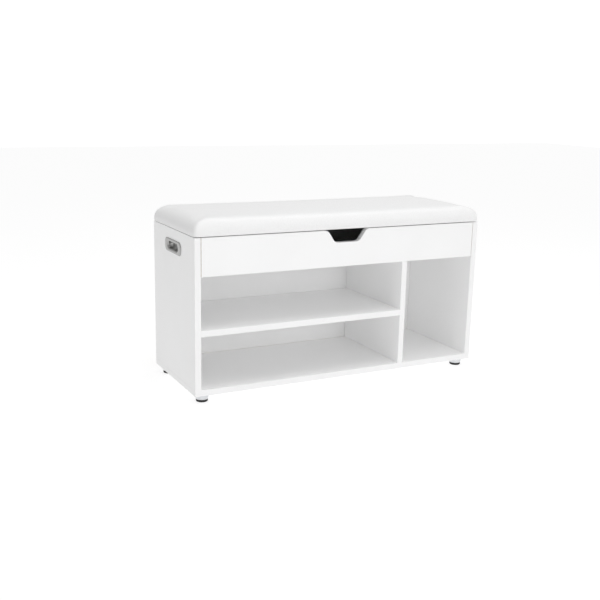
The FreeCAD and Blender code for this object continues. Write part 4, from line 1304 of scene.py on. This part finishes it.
def studio_floor():
    """A wide sheet of white paper under the bench."""
    mesh = bmesh.new()
    half = 9.0
    for x, y in ((-half, -half), (half, -half), (half, half), (-half, half)):
        mesh.verts.new((x, y, 0))
    mesh.faces.new(mesh.verts[:])
    data = bpy.data.meshes.new("paper_floor")
    mesh.to_mesh(data)
    mesh.free()
    floor = bpy.data.objects.new("paper_floor", data)
    scene.collection.objects.link(floor)
    material, _, shader, _ = stock("lit_studio_paper", "#8C8C8C", 0.9)
    shader.inputs["Emission Color"].default_value = linear("#FFFFFF")
    shader.inputs["Emission Strength"].default_value = FLOOR_GLOW
    data.materials.append(material)


def softbox(name, place, aim, size, watts):
    """A rectangular soft light at a place, aimed at a point."""
    light = bpy.data.lights.new(name, "AREA")
    light.shape = "RECTANGLE"
    light.size, light.size_y = size
    light.energy = watts
    lamp = bpy.data.objects.new(name, light)
    lamp.location = place
    lamp.rotation_euler = (Vector(place) - Vector(aim)).to_track_quat("Z", "Y").to_euler()
    scene.collection.objects.link(lamp)


def studio_air(low, high):
    """Even room light with a dark flag at either side, to give metal an edge; a white backdrop."""
    world = bpy.data.worlds.new("studio")
    scene.world = world
    world.use_nodes = True
    tree = world.node_tree
    tree.nodes.clear()
    way = add(tree, "ShaderNodeTexCoord").outputs["Generated"]
    parts = add(tree, "ShaderNodeSeparateXYZ", {"Vector": way})
    ends = {"From Min": -1.0, "From Max": 1.0, "To Min": low, "To Max": high}
    level = add(tree, "ShaderNodeMapRange", {"Value": parts.outputs["X"], **ends})
    strength = level.outputs[0]
    flagged = {"From Min": 0.94, "From Max": 0.97, "To Min": 1.0, "To Max": 0.03}
    for flag in DARK_FLAGS:
        near = add(tree, "ShaderNodeVectorMath", {0: way, 1: flag}, operation="DOT_PRODUCT")
        dark = add(tree, "ShaderNodeMapRange", {"Value": near.outputs["Value"], **flagged})
        dimmed = add(tree, "ShaderNodeMath", {0: strength, 1: dark.outputs[0]}, operation="MULTIPLY")
        strength = dimmed.outputs[0]
    room = add(tree, "ShaderNodeBackground", {"Strength": strength})
    room.inputs["Color"].default_value = linear("#FFFFFF")
    backdrop = add(tree, "ShaderNodeBackground", {"Strength": 1.1})
    backdrop.inputs["Color"].default_value = linear("#FFFFFF")
    seen = add(tree, "ShaderNodeLightPath").outputs["Is Camera Ray"]
    both = add(tree, "ShaderNodeMixShader", {0: seen, 1: room.outputs[0], 2: backdrop.outputs[0]})
    add(tree, "ShaderNodeOutputWorld", {"Surface": both.outputs[0]})


def camera():
    """A long-lens look from the bench's front left, a little above its seat."""
    azimuth, elevation, roll = (math.radians(a) for a in (-27.463, 13.323, 1.290))
    back = Vector(
        (
            math.sin(azimuth) * math.cos(elevation),
            -math.cos(azimuth) * math.cos(elevation),
            math.sin(elevation),
        )
    )
    right = Vector((0, 0, 1)).cross(back).normalized()
    up = back.cross(right)
    tilted_right = math.cos(roll) * right + math.sin(roll) * up
    tilted_up = math.cos(roll) * up - math.sin(roll) * right
    lens = bpy.data.cameras.new("studio_camera")
    lens.sensor_width = 36
    lens.lens = 52.9932
    eye = bpy.data.objects.new("studio_camera", lens)
    place = Vector((0, 0, 0.2)) + back * 2.3356 - tilted_right * 0.04519 - tilted_up * 0.01279
    turn = Matrix((tilted_right, tilted_up, back)).transposed()
    eye.matrix_world = Matrix.Translation(place) @ turn.to_4x4()
    scene.collection.objects.link(eye)
    scene.camera = eye


studio_floor()
softbox("front_softbox", (0.1, -3.2, 0.75), (0, 0, 0.2), (1.6, 1.0), 14)
softbox("top_softbox", (0.2, -0.3, 2.4), (0, 0, 0.3), (2.2, 1.6), 24)
studio_air(0.54, 0.6)
camera()
scene.view_settings.view_transform = "Standard"
scene.cycles.diffuse_bounces = 16  # light that finds its way deep into the bays
